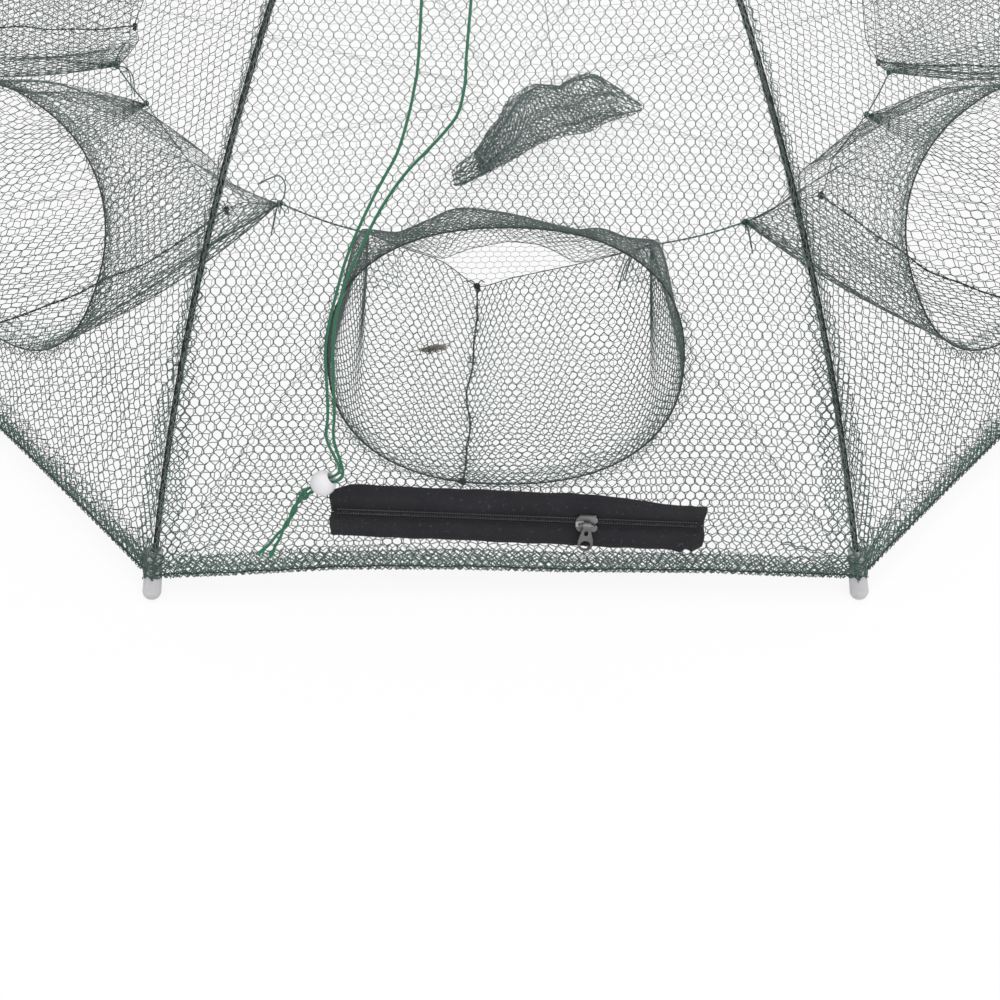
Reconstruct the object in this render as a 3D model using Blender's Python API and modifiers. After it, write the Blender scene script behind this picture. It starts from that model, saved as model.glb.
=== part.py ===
"""Folding fish trap: an umbrella-framed octagonal net cage with eight funnel entrances.

The cage stands on the ground plane with its centre at the origin and +Z up. Eight curved
ribs hang from a moulded crown and fold down like an umbrella's. Panel 1, which holds the
zip, faces -Y, and rib 1 is at its left as seen from outside.
"""

import math

import bmesh
import bpy
from mathutils import Matrix, Vector
from mathutils.geometry import delaunay_2d_cdt

# Hem and general fits
SIDES = 8
HEM_SIDE = 0.385
HEM_HEIGHT = 0.012
CLEARANCE = 0.0003
FOLD_ANGLE = math.radians(50)

# Ribs: sprung steel wire, straight at the crown and then one long arc
RIB_DIAMETER = 0.004
RIB_STRAIGHT = 0.110
CROWN_SLOPE = math.radians(22.0)
TIP_SLOPE = math.radians(63.6)
TIP_HEIGHT = 0.005
RIB_ARC_STEPS = 8
PIVOT_RADIUS = 0.030
PIN_DIAMETER = 0.003
EYE_DIAMETER = 0.0086
EYE_WIDTH = 0.004
EYE_OVERLAP = 0.35

# Rib tip caps
CAP_DIAMETER = 0.0102
CAP_NECK_DIAMETER = 0.0086
CAP_LENGTH = 0.0245
CAP_LIP = 0.0012
SOLE_DIAMETER = 0.006

# Crown
HUB_DIAMETER = 0.076
HUB_HALF_HEIGHT = 0.008
HUB_CHAMFER = 0.0012
SLOT_INNER_RADIUS = 0.0235
RING_STEPS = 32
SIDE_PLAY = 0.0005
CROWN_PIN_LENGTH = 0.013
CAP_WALL = 0.0035
CAP_SKIRT = 0.0055
CAP_FLAT_RADIUS = 0.021
CORD_HOLE_DIAMETER = 0.0072

# Runner, its lock stem and the stretchers
STRETCHER_REACH = 0.080
LUG_DROP = 0.007
LUG_THICKNESS = 0.0015
LUG_RADIUS = 0.0035
STRETCHER_WIDTH = 0.007
STRETCHER_THICKNESS = 0.003
RUNNER_RIM = 0.006
STEM_DIAMETER = 0.010
STEM_HEAD_DIAMETER = 0.0136
STEM_HEAD_HEIGHT = 0.007
STEM_BORE_PLAY = 0.0006
CORD_SOCKET_DEPTH = 0.006

# Nets
NET_THICKNESS = 0.001
GORE_LEVELS = 12
MESH_GAP_HEIGHT = 0.052
MESH_GAP_WIDTH = 0.042
CORNER_NOTCH_WIDTH = 0.010
CORNER_NOTCH_HEIGHT = 0.026
FLOOR_HUB_RADIUS = 0.012

# Funnel entrances
HOOP_WIRE_DIAMETER = 0.0026
HOOP_WIDTH = 0.184
HOOP_LENGTH = 0.137
HOOP_CENTRE = 0.4995
HOOP_SQUARENESS = 2.3
HOOP_POINTS = 16
SLIT_HALF_LENGTH = 0.0786
SLIT_HALF_HEIGHT = 0.0055
SLIT_DISTANCE = 0.2687
SLIT_HEIGHT = 0.085
SLIT_FLATNESS = 1.25
TIE_DIAMETER = 0.002

# Zip in panel 1
ZIP_LENGTH = 0.201
ZIP_WIDTH = 0.032
ZIP_THICKNESS = 0.0008
ZIP_CENTRE_X = 0.0065
ZIP_DROP = 0.0195
ZIP_TILT = math.radians(-2.4)
ZIP_SLIT = 0.001
ZIP_END_BAR = 0.004
ZIP_CORNER = 0.002
COIL_WIDTH = 0.0026
COIL_HEIGHT = 0.002
SLIDER_LENGTH = 0.012
SLIDER_WIDTH = 0.0095
SLIDER_PLATE = 0.0012
SLIDER_AT = 0.0365
SLIDER_FLANGE = 0.0011
BRIDGE_DIAMETER = 0.0014
BRIDGE_LENGTH = 0.0076
BRIDGE_RISE = 0.0026
BARREL_DIAMETER = 0.0042
PULL_LENGTH = 0.016
PULL_WIDTH = 0.008
PULL_THICKNESS = 0.0012
PULL_HOLE = 0.0058
PULL_SLOT_WIDTH = 0.0022
PULL_SLOT_LENGTH = 0.0036
PULL_REST = math.radians(-12)

# Bait bag on its thread
BAG_LENGTH = 0.166
BAG_WIDTH = 0.058
BAG_HEIGHT = 0.046
BAG_CENTRE = (0.033, -0.061)
BAG_TURN = math.radians(35)
BAG_PINCH = 0.25
BAG_FLAT_BASE = -0.9
BAG_LEAN = 0.15
THREAD_DIAMETER = 0.0012

# Pull cord on the front panel
CORD_DIAMETER = 0.0016
CORD_STEPS = 2
CORD_GAP = 0.003
BEAD_DIAMETER = 0.0136
BEAD_BORE = 0.0064
KNOT_SIZE = 0.0062

ZIP_CENTRE_S = HOOP_CENTRE + HOOP_LENGTH / 2 + ZIP_DROP
STEP = 2 * math.pi / SIDES
HALF = STEP / 2
FRONT = -math.pi / 2
RIB_RADIUS = RIB_DIAMETER / 2
PIN_HOLE_RADIUS = PIN_DIAMETER / 2 + CLEARANCE
HUB_RADIUS = HUB_DIAMETER / 2
HEM_RADIUS = HEM_SIDE / (2 * math.sin(HALF))
TIP_RADIUS = HEM_RADIUS + (HEM_HEIGHT - TIP_HEIGHT) / math.tan(TIP_SLOPE)
RIB_ARC = (TIP_RADIUS - PIVOT_RADIUS - RIB_STRAIGHT * math.cos(CROWN_SLOPE)) / (
    math.sin(TIP_SLOPE) - math.sin(CROWN_SLOPE)
)
RIB_LENGTH = RIB_STRAIGHT + RIB_ARC * (TIP_SLOPE - CROWN_SLOPE)
PIVOT_HEIGHT = (
    TIP_HEIGHT
    + RIB_ARC * (math.cos(CROWN_SLOPE) - math.cos(TIP_SLOPE))
    + RIB_STRAIGHT * math.sin(CROWN_SLOPE)
)
NET_OFFSET = (RIB_RADIUS + CLEARANCE + NET_THICKNESS / 2) / math.cos(HALF)
HEM_S = RIB_LENGTH - (HEM_HEIGHT - TIP_HEIGHT) / math.sin(TIP_SLOPE)

# The stretcher is as long as its lug is far from the rib's pivot, so its lower end runs
# straight down the crown's axis.
STRETCHER_LENGTH = math.hypot(STRETCHER_REACH, LUG_DROP)
STRETCHER_ANGLE = CROWN_SLOPE + math.atan2(LUG_DROP, STRETCHER_REACH)
RUNNER_DROP = 2 * STRETCHER_LENGTH * math.sin(STRETCHER_ANGLE)
RUNNER_HEIGHT = PIVOT_HEIGHT - RUNNER_DROP
MEAN_RATE = (
    math.sin(STRETCHER_ANGLE + FOLD_ANGLE) - math.sin(STRETCHER_ANGLE)
) / FOLD_ANGLE
RUNNER_TRAVEL = 2 * STRETCHER_LENGTH * MEAN_RATE * FOLD_ANGLE
LAG_ANGLE = math.acos(MEAN_RATE)
PIN_LAG = 2 * STRETCHER_LENGTH * (
    math.sin(LAG_ANGLE) - math.sin(STRETCHER_ANGLE) - MEAN_RATE * (LAG_ANGLE - STRETCHER_ANGLE)
)

# Heights round the crown
CAP_INNER_HEIGHT = HUB_HALF_HEIGHT + CLEARANCE
CAP_TOP_HEIGHT = CAP_INNER_HEIGHT + CAP_WALL
NET_TOP_S = (
    (HUB_RADIUS + 2 * CLEARANCE) / math.cos(HALF)
    - PIVOT_RADIUS
    - NET_OFFSET * math.sin(CROWN_SLOPE)
) / math.cos(CROWN_SLOPE)
NET_TOP_HEIGHT = NET_OFFSET * math.cos(CROWN_SLOPE) - NET_TOP_S * math.sin(CROWN_SLOPE)
SKIRT_HEIGHT = NET_TOP_HEIGHT + NET_THICKNESS / 2 / math.cos(CROWN_SLOPE) + CLEARANCE
SOCKET_RADIUS = CORD_HOLE_DIAMETER / 2
FLOOR_TOP = HEM_HEIGHT + NET_THICKNESS / 2

for old in list(bpy.data.objects):
    bpy.data.objects.remove(old)

MODEL = bpy.data.collections.new("folding_fish_trap")
CUTTERS = bpy.data.collections.new("cutters")
bpy.context.scene.collection.children.link(MODEL)
bpy.context.scene.collection.children.link(CUTTERS)


def material(name, colour, roughness, metallic=0.0):
    """A plain Principled material."""
    made = bpy.data.materials.new(name)
    made.use_nodes = True
    shader = made.node_tree.nodes["Principled BSDF"]
    shader.inputs["Base Color"].default_value = (*colour, 1.0)
    shader.inputs["Roughness"].default_value = roughness
    shader.inputs["Metallic"].default_value = metallic
    made.diffuse_color = (*colour, 1.0)
    return made


def add(name, mesh, parent=None, cutter=False):
    """Put a mesh in the scene as a named object of the model, or as a hidden cutter."""
    placed = bpy.data.objects.new(name, mesh)
    placed.parent = parent
    if cutter:
        CUTTERS.objects.link(placed)
        placed.hide_render = True
        placed.display_type = "WIRE"
    else:
        MODEL.objects.link(placed)
    return placed


def empty(name, location, turn=0.0, parent=None):
    """An empty on a joint's axis, turned about +Z by the given angle."""
    placed = bpy.data.objects.new(name, None)
    placed.empty_display_size = 0.02
    MODEL.objects.link(placed)
    placed.parent = parent
    world = Matrix.Translation(location) @ Matrix.Rotation(turn, 4, "Z")
    if parent:
        world = parent_world(parent).inverted() @ world
    placed.matrix_basis = world
    return placed


def parent_world(placed):
    """An empty's world matrix, worked out without a view layer update."""
    world = placed.matrix_basis.copy()
    if placed.parent:
        return parent_world(placed.parent) @ world
    return world


def keep_world(placed, parent):
    """Parent a piece that was modelled in world coordinates without moving it."""
    placed.parent = parent
    placed.matrix_parent_inverse = parent_world(parent).inverted()


def bake(placed):
    """A new closed mesh of an object with its modifiers, curves included; the object goes."""
    graph = bpy.context.evaluated_depsgraph_get()
    mesh = bpy.data.meshes.new_from_object(placed.evaluated_get(graph), depsgraph=graph)
    mesh.transform(placed.matrix_basis)
    work = bmesh.new()
    work.from_mesh(mesh)
    bmesh.ops.remove_doubles(work, verts=work.verts, dist=0.00002)
    work.to_mesh(mesh)
    work.free()
    mesh.materials.clear()
    bpy.data.objects.remove(placed)
    return mesh


def turned(profile, steps, closed=False):
    """A turned solid: a profile in (radius, height), run down its outer side."""
    mesh = bpy.data.meshes.new("turned")
    count = len(profile)
    edges = [(i, i + 1) for i in range(count - 1)]
    if closed:
        edges.append((count - 1, 0))
    mesh.from_pydata([(r, 0.0, z) for r, z in profile], edges, [])
    placed = add("turned", mesh)
    screw = placed.modifiers.new("Turn", "SCREW")
    screw.steps = steps
    screw.render_steps = steps
    screw.use_merge_vertices = True
    screw.merge_threshold = 0.00002
    return bake(placed)


def plate(outlines, thickness):
    """A flat plate in XY from closed outlines, the first one round and the others holes."""
    curve = bpy.data.curves.new("plate", "CURVE")
    curve.dimensions = "2D"
    curve.fill_mode = "BOTH"
    curve.extrude = thickness / 2
    for outline in outlines:
        spline = curve.splines.new("POLY")
        spline.points.add(len(outline) - 1)
        spline.use_cyclic_u = True
        for point, (x, y) in zip(spline.points, outline):
            point.co = (x, y, 0.0, 1.0)
    return bake(add("plate", curve))


def tube(points, diameter, cyclic=False, resolution=2):
    """A round wire or cord through the points, with filled ends unless it is closed."""
    curve = bpy.data.curves.new("tube", "CURVE")
    curve.dimensions = "3D"
    curve.bevel_depth = diameter / 2
    curve.bevel_resolution = resolution
    curve.use_fill_caps = not cyclic
    spline = curve.splines.new("POLY")
    spline.points.add(len(points) - 1)
    spline.use_cyclic_u = cyclic
    for point, place in zip(spline.points, points):
        point.co = (*place, 1.0)
    return bake(add("tube", curve))


def cylinder(radius, length, axis="Z", centre=(0, 0, 0), sides=12):
    """A closed cylinder mesh centred on a point, along X, Y or Z."""
    turn = {"X": Matrix.Rotation(math.pi / 2, 4, "Y"), "Y": Matrix.Rotation(math.pi / 2, 4, "X")}
    work = bmesh.new()
    bmesh.ops.create_cone(
        work, cap_ends=True, segments=sides, radius1=radius, radius2=radius, depth=length,
        matrix=Matrix.Translation(centre) @ turn.get(axis, Matrix.Identity(4)),
    )
    mesh = bpy.data.meshes.new("cylinder")
    work.to_mesh(mesh)
    work.free()
    return mesh


def box(low, high):
    """A closed box mesh between two corners."""
    low = Vector(low)
    high = Vector(high)
    work = bmesh.new()
    bmesh.ops.create_cube(
        work, size=1.0, matrix=Matrix.Translation((low + high) / 2)
        @ Matrix.Diagonal((*(high - low), 1.0)),
    )
    mesh = bpy.data.meshes.new("box")
    work.to_mesh(mesh)
    work.free()
    return mesh


def moved(mesh, matrix):
    """The same mesh, moved in place."""
    mesh.transform(matrix)
    return mesh


def joined(meshes):
    """One mesh of several separate solids."""
    work = bmesh.new()
    for mesh in meshes:
        work.from_mesh(mesh)
    made = bpy.data.meshes.new("joined")
    work.to_mesh(made)
    work.free()
    return made


def around(mesh):
    """Copies of a mesh at each of the cage's stations round the Z axis."""
    copies = []
    for k in range(SIDES):
        copy = mesh.copy()
        copy.transform(Matrix.Rotation(rib_turn(k), 4, "Z"))
        copies.append(copy)
    return joined(copies)


def combine(mesh, tools, operation):
    """A mesh after exact Booleans with each tool mesh in turn."""
    placed = add("work", mesh)
    cutters = [add("tool", tool, cutter=True) for tool in tools]
    for cutter in cutters:
        step = placed.modifiers.new("Boolean", "BOOLEAN")
        step.operation = operation
        step.solver = "EXACT"
        step.object = cutter
    made = bake(placed)
    for cutter in cutters:
        bpy.data.objects.remove(cutter)
    return made


def finish(name, mesh, look, parent=None, sharp=40):
    """Name a finished solid, give it its material and shade its round faces smooth."""
    mesh.name = name
    mesh.materials.clear()
    mesh.materials.append(look)
    mesh.shade_smooth()
    mesh.set_sharp_from_angle(angle=math.radians(sharp))
    return add(name, mesh, parent)


def rib_turn(k):
    """The azimuth of rib k, counted from 0, left of panel k as seen from outside."""
    return FRONT - HALF + k * STEP


def panel_turn(k):
    """How far panel k is turned from panel 1, which faces -Y."""
    return k * STEP


def rib_axis(s):
    """Radius, height and downward slope of a rib's axis at distance s from its pivot."""
    if s <= RIB_STRAIGHT:
        radius = PIVOT_RADIUS + s * math.cos(CROWN_SLOPE)
        height = PIVOT_HEIGHT - s * math.sin(CROWN_SLOPE)
        return radius, height, CROWN_SLOPE
    slope = CROWN_SLOPE + (s - RIB_STRAIGHT) / RIB_ARC
    radius = TIP_RADIUS - RIB_ARC * (math.sin(TIP_SLOPE) - math.sin(slope))
    height = TIP_HEIGHT + RIB_ARC * (math.cos(slope) - math.cos(TIP_SLOPE))
    return radius, height, slope


def net_axis(s):
    """Radius and height of the net's mid surface where it passes over a rib at s."""
    radius, height, slope = rib_axis(s)
    return radius + NET_OFFSET * math.sin(slope), height + NET_OFFSET * math.cos(slope)


def on_panel(x, s, out=0.0):
    """A point on panel 1's net, x to the right and s down from the crown, raised by out."""
    radius, height = net_axis(s)
    slope = rib_axis(s)[2]
    normal = Vector((0.0, -math.sin(slope), math.cos(slope) * math.cos(HALF))).normalized()
    return Vector((x, -radius * math.cos(HALF), height)) + out * normal


def panel_half_width(s):
    """Half the panel's width at s, less the mitre gap to its neighbour."""
    mitre = CLEARANCE + NET_THICKNESS / 2 * math.tan(HALF)
    return net_axis(s)[0] * math.sin(HALF) - mitre


def net_sheet(name, outline, gaps, place):
    """A thin net: a flat pattern with gaps, laid on its surface and given its thickness."""
    loops = [outline] + gaps
    points = [Vector(p) for loop in loops for p in loop]
    faces = []
    first = 0
    for loop in loops:
        turning = sum(a[0] * b[1] - a[1] * b[0] for a, b in zip(loop, loop[1:] + loop[:1]))
        numbers = list(range(first, first + len(loop)))
        faces.append(numbers if turning > 0 else numbers[::-1])
        first += len(loop)
    flat, _, cells, _, _, owners = delaunay_2d_cdt(points, [], faces, 1, 1e-7)
    kept = [cell for cell, owner in zip(cells, owners) if list(owner) == [0]]
    mesh = bpy.data.meshes.new(name)
    mesh.from_pydata([place(p.x, p.y) for p in flat], [], kept)
    work = bmesh.new()
    work.from_mesh(mesh)
    loose = [v for v in work.verts if not v.link_faces]
    bmesh.ops.delete(work, geom=loose, context="VERTS")
    bmesh.ops.recalc_face_normals(work, faces=work.faces)
    work.to_mesh(mesh)
    work.free()
    placed = add(name, mesh)
    shell = placed.modifiers.new("Thickness", "SOLIDIFY")
    shell.thickness = NET_THICKNESS
    shell.offset = 0.0
    shell.use_even_offset = True
    return bake(placed)


def mesh_gap(x, y):
    """One tall hexagonal gap of the net's pattern, centred on a point."""
    w = MESH_GAP_WIDTH / 2
    h = MESH_GAP_HEIGHT / 2
    return [(x, y + h), (x - w, y + h / 2), (x - w, y - h / 2), (x, y - h), (x + w, y - h / 2),
            (x + w, y + h / 2)]


def hoop_outline(grow, count=HOOP_POINTS):
    """The oval hoop in the panel's pattern, (x, s) pairs, grown by a distance."""
    points = []
    for i in range(count):
        turn = 2 * math.pi * i / count
        across = math.cos(turn)
        along = math.sin(turn)
        power = 2 / HOOP_SQUARENESS
        x = (HOOP_WIDTH / 2 + grow) * math.copysign(abs(across) ** power, across)
        s = HOOP_CENTRE + (HOOP_LENGTH / 2 + grow) * math.copysign(abs(along) ** power, along)
        points.append((x, s))
    return points


STEEL = material("steel", (0.30, 0.30, 0.31), 0.35, 0.9)
WIRE = material("hoop_wire", (0.03, 0.03, 0.03), 0.45, 0.4)
MOULDING = material("moulding", (0.05, 0.05, 0.055), 0.5)
CLEAR_CAP = material("clear_cap", (0.80, 0.82, 0.80), 0.3)
NET = material("net", (0.10, 0.15, 0.11), 0.8)
FUNNEL_NET = material("funnel_net", (0.09, 0.15, 0.10), 0.8)
TAPE = material("zip_tape", (0.03, 0.03, 0.03), 0.85)
COIL = material("zip_coil", (0.02, 0.02, 0.02), 0.4)
GUNMETAL = material("gunmetal", (0.25, 0.25, 0.26), 0.3, 1.0)
CORD = material("cord", (0.05, 0.60, 0.14), 0.6)
BEAD = material("bead", (0.85, 0.85, 0.82), 0.35)
BAG = material("bag", (0.05, 0.07, 0.06), 0.85)


def make_crown():
    """The slotted crown hub, the hinge ring that the ribs thread on, and the cap over them."""
    bore = STEM_HEAD_DIAMETER / 2 + STEM_BORE_PLAY
    c = HUB_CHAMFER
    h = HUB_HALF_HEIGHT
    near = PIVOT_RADIUS - PIN_HOLE_RADIUS
    far = PIVOT_RADIUS + PIN_HOLE_RADIUS
    profile = [(bore, h), (near, h), (near, -PIN_HOLE_RADIUS), (far, -PIN_HOLE_RADIUS), (far, h),
               (HUB_RADIUS - c, h), (HUB_RADIUS, h - c), (HUB_RADIUS, c - h),
               (HUB_RADIUS - c, -h), (bore + c, -h), (bore, c - h)]
    half_slot = EYE_WIDTH / 2 + SIDE_PLAY
    slot = box((SLOT_INNER_RADIUS, -half_slot, -2 * h), (2 * HUB_RADIUS, half_slot, 2 * h))
    hub = combine(turned(profile, 32, closed=True), [around(slot)], "DIFFERENCE")
    base = empty("crown_frame", (0, 0, PIVOT_HEIGHT))
    finish("crown_hub", hub, MOULDING, base)
    loop = []
    for i in range(RING_STEPS):
        turn = FRONT - HALF + 2 * math.pi * i / RING_STEPS
        loop.append((PIVOT_RADIUS * math.cos(turn), PIVOT_RADIUS * math.sin(turn), 0))
    finish("crown_ring", tube(loop, PIN_DIAMETER, True, 1), STEEL, base)

    inner = HUB_RADIUS + CLEARANCE
    outer = inner + CAP_SKIRT
    profile = [(SOCKET_RADIUS, CAP_TOP_HEIGHT), (CAP_FLAT_RADIUS, CAP_TOP_HEIGHT)]
    shoulder = CAP_TOP_HEIGHT - SKIRT_HEIGHT - CAP_SKIRT / 3
    for i in range(1, 5):
        turn = i * math.pi / 8
        profile.append((
            CAP_FLAT_RADIUS + (outer - CAP_FLAT_RADIUS) * math.sin(turn),
            CAP_TOP_HEIGHT - shoulder * (1 - math.cos(turn)),
        ))
    profile += [(outer, SKIRT_HEIGHT), (inner, SKIRT_HEIGHT), (inner, CAP_INNER_HEIGHT),
                (SOCKET_RADIUS, CAP_INNER_HEIGHT)]
    finish("crown_cap", turned(profile, 32, closed=True), MOULDING, base)


def make_runner():
    """The runner that the stretchers end in, with the stem that locks in the crown."""
    low = -PIN_LAG - RUNNER_RIM
    top = RUNNER_DROP + STEM_HEAD_HEIGHT / 2
    stem = STEM_DIAMETER / 2
    head = STEM_HEAD_DIAMETER / 2
    neck = top - STEM_HEAD_HEIGHT
    c = HUB_CHAMFER
    profile = [
        (0, top - CORD_SOCKET_DEPTH), (SOCKET_RADIUS, top - CORD_SOCKET_DEPTH),
        (SOCKET_RADIUS, top), (stem, top), (head, top - STEM_HEAD_HEIGHT / 2), (head, neck),
        (stem, neck), (stem, 2 * RUNNER_RIM), (2 * stem, RUNNER_RIM), (HUB_RADIUS - c, RUNNER_RIM),
        (HUB_RADIUS, RUNNER_RIM - c), (HUB_RADIUS, low + c), (HUB_RADIUS - c, low), (0, low),
    ]
    half_slot = STRETCHER_THICKNESS / 2 + SIDE_PLAY
    slot = box((SLOT_INNER_RADIUS, -half_slot, low - c), (2 * HUB_RADIUS, half_slot, top))
    r = PIN_HOLE_RADIUS
    half_pin = CROWN_PIN_LENGTH / 2 + CLEARANCE
    track = box(
        (PIVOT_RADIUS - r, -half_pin, -PIN_LAG - r), (PIVOT_RADIUS + r, half_pin, r)
    )
    base = empty("runner_frame", (0, 0, RUNNER_HEIGHT))
    hub = combine(turned(profile, 32), [around(slot), around(track)], "DIFFERENCE")
    finish("runner_hub", hub, MOULDING, base)
    return base


def rib_mesh():
    """One rib about its pivot: the wire with its pivot eye and its stretcher lugs."""
    path = [rib_axis(EYE_DIAMETER * EYE_OVERLAP), rib_axis(RIB_STRAIGHT * 0.6), rib_axis(RIB_STRAIGHT)]
    straight_end = CAP_LENGTH + RIB_DIAMETER
    arc = RIB_LENGTH - RIB_STRAIGHT - straight_end
    for i in range(1, RIB_ARC_STEPS):
        path.append(rib_axis(RIB_STRAIGHT + arc * i / (RIB_ARC_STEPS - 0.5)))
    rise = straight_end * math.sin(TIP_SLOPE)
    path.append((TIP_RADIUS - straight_end * math.cos(TIP_SLOPE), TIP_HEIGHT + rise, TIP_SLOPE))
    path.append((TIP_RADIUS, TIP_HEIGHT, TIP_SLOPE))
    wire = tube(
        [(r - PIVOT_RADIUS, 0, z - PIVOT_HEIGHT) for r, z, _ in path], RIB_DIAMETER, resolution=1
    )
    eye = cylinder(EYE_DIAMETER / 2, EYE_WIDTH, "Y", sides=12)
    block = [(LUG_RADIUS * 1.4, RIB_RADIUS / 2), (-LUG_RADIUS * 1.4, RIB_RADIUS / 2)]
    for i in range(5):
        turn = math.pi + i * math.pi / 4
        block.append((LUG_RADIUS * math.cos(turn), LUG_RADIUS * math.sin(turn) - LUG_DROP))
    lug_gap = STRETCHER_THICKNESS / 2 + SIDE_PLAY
    half_width = lug_gap + LUG_THICKNESS
    upright = Matrix.Rotation(math.pi / 2, 4, "X")
    at_lug = Matrix.Rotation(CROWN_SLOPE, 4, "Y") @ Matrix.Translation((STRETCHER_REACH, 0, 0))
    lugs = moved(plate([block], 2 * half_width), at_lug @ upright)
    under = -RIB_RADIUS - SIDE_PLAY
    reach = 2 * LUG_RADIUS
    slot = box((-reach, -lug_gap, under - 2 * LUG_DROP), (reach, lug_gap, under))
    hole = cylinder(PIN_HOLE_RADIUS, 4 * half_width, "Y", (0, 0, -LUG_DROP), 8)
    bore = cylinder(PIN_HOLE_RADIUS, 2 * EYE_WIDTH, "Y", sides=8)
    whole = combine(wire, [eye, lugs], "UNION")
    return combine(whole, [moved(slot, at_lug), moved(hole, at_lug), bore], "DIFFERENCE")


def stretcher_mesh():
    """One stretcher about its lug pin, lying along +X, with both pins fused in."""
    r = STRETCHER_WIDTH / 2
    outline = []
    for i in range(5):
        turn = math.pi / 2 + i * math.pi / 4
        outline.append((r * math.cos(turn), r * math.sin(turn)))
    for i in range(5):
        turn = -math.pi / 2 + i * math.pi / 4
        outline.append((STRETCHER_LENGTH + r * math.cos(turn), r * math.sin(turn)))
    bar = moved(plate([outline], STRETCHER_THICKNESS), Matrix.Rotation(math.pi / 2, 4, "X"))
    lug_pin = 2 * (STRETCHER_THICKNESS / 2 + SIDE_PLAY + LUG_THICKNESS)
    outer = cylinder(PIN_DIAMETER / 2, lug_pin, "Y", sides=8)
    inner = cylinder(PIN_DIAMETER / 2, CROWN_PIN_LENGTH, "Y", (STRETCHER_LENGTH, 0, 0), 8)
    return combine(bar, [outer, inner], "UNION")


def tip_mesh():
    """A cap on a rib's end, its axis along +Z up the rib, cut flat where it stands."""
    r = CAP_DIAMETER / 2
    neck = CAP_NECK_DIAMETER / 2
    bore = RIB_RADIUS + CLEARANCE
    centre_height = math.sqrt(r * r - (SOLE_DIAMETER / 2) ** 2)
    end = -(TIP_HEIGHT - centre_height) / math.sin(TIP_SLOPE)
    profile = [(0, -CLEARANCE), (bore, -CLEARANCE), (bore, CAP_LENGTH), (neck, CAP_LENGTH),
               (neck + CAP_LIP, CAP_LENGTH - CAP_LIP), (neck, CAP_LENGTH - 2 * CAP_LIP), (r, end)]
    for i in range(1, 4):
        turn = i * math.pi / 6
        profile.append((r * math.cos(turn), end - r * math.sin(turn)))
    lean = Matrix.Rotation(TIP_SLOPE - math.pi / 2, 4, "Y")
    cap = moved(turned(profile, 10), lean)
    ground = box((-4 * r, -4 * r, -TIP_HEIGHT - 4 * r), (4 * r, 4 * r, -TIP_HEIGHT))
    return combine(cap, [ground], "DIFFERENCE")


def make_ribs():
    """All ribs with their caps and stretchers, on empties at their pivots."""
    rib = rib_mesh()
    tip = tip_mesh()
    stretcher = stretcher_mesh()
    for k in range(SIDES):
        turn = rib_turn(k)
        out = Vector((math.cos(turn), math.sin(turn), 0))
        pivot = PIVOT_RADIUS * out + Vector((0, 0, PIVOT_HEIGHT))
        hinge = empty(f"rib_{k + 1}_hinge", pivot, turn)
        finish(f"rib_{k + 1}", rib.copy(), STEEL, hinge)
        cap = finish(f"rib_tip_{k + 1}", tip.copy(), CLEAR_CAP, hinge)
        cap.location = (TIP_RADIUS - PIVOT_RADIUS, 0, TIP_HEIGHT - PIVOT_HEIGHT)
        reach = STRETCHER_LENGTH * math.cos(STRETCHER_ANGLE)
        drop = STRETCHER_LENGTH * math.sin(STRETCHER_ANGLE)
        lug = pivot + reach * out - Vector((0, 0, drop))
        joint = empty(f"stretcher_{k + 1}_hinge", lug, turn, hinge)
        bar = finish(f"stretcher_{k + 1}", stretcher.copy(), STEEL, joint)
        bar.rotation_euler = (0, math.pi - STRETCHER_ANGLE, 0)


def gore_outline():
    """One panel's cut pattern in (x, s): curved sides, with corners notched for the caps."""
    fall = HEM_S - CORNER_NOTCH_HEIGHT - NET_TOP_S
    levels = [NET_TOP_S + fall * i / GORE_LEVELS for i in range(GORE_LEVELS + 1)]
    notch = CORNER_NOTCH_WIDTH
    left = [(-panel_half_width(s), s) for s in levels]
    left += [(notch - panel_half_width(levels[-1]), levels[-1]), (notch - HEM_SIDE / 2, HEM_S)]
    return left + [(-x, s) for x, s in reversed(left)]


def gore_gaps():
    """The coarse net gaps of one panel, in rows above the hoop and at its sides."""
    pitch_x = MESH_GAP_WIDTH * 1.5
    pitch_s = MESH_GAP_HEIGHT * 1.5
    gaps = []
    first = RIB_STRAIGHT
    rows = int((HOOP_CENTRE - HOOP_LENGTH / 2 - MESH_GAP_HEIGHT - first) / pitch_s) + 1
    for row in range(rows):
        s = first + row * pitch_s
        room = 2 * (panel_half_width(s - MESH_GAP_HEIGHT / 2) - MESH_GAP_WIDTH / 4)
        count = max(int((room - MESH_GAP_WIDTH) / pitch_x) + 1, 1)
        for i in range(count):
            gaps.append(mesh_gap((i - (count - 1) / 2) * pitch_x, s))
    for side in (-1, 1):
        x = side * (HOOP_WIDTH / 2 + MESH_GAP_WIDTH)
        gaps.append(mesh_gap(x, HOOP_CENTRE + MESH_GAP_HEIGHT / 2))
    return gaps


def zip_matrix(x, out):
    """The zip's frame at x along it: X along the zip, Y up the panel, Z out of the net."""
    s = ZIP_CENTRE_S
    origin = on_panel(ZIP_CENTRE_X, s)
    outward = (on_panel(ZIP_CENTRE_X, s, 1.0) - origin).normalized()
    along = Vector((1, 0, 0))
    up = outward.cross(along)
    flat = Matrix((along, up, outward)).transposed().to_4x4()
    turned_frame = flat @ Matrix.Rotation(ZIP_TILT, 4, "Z")
    return Matrix.Translation(origin) @ turned_frame @ Matrix.Translation((x, 0, out))


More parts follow.
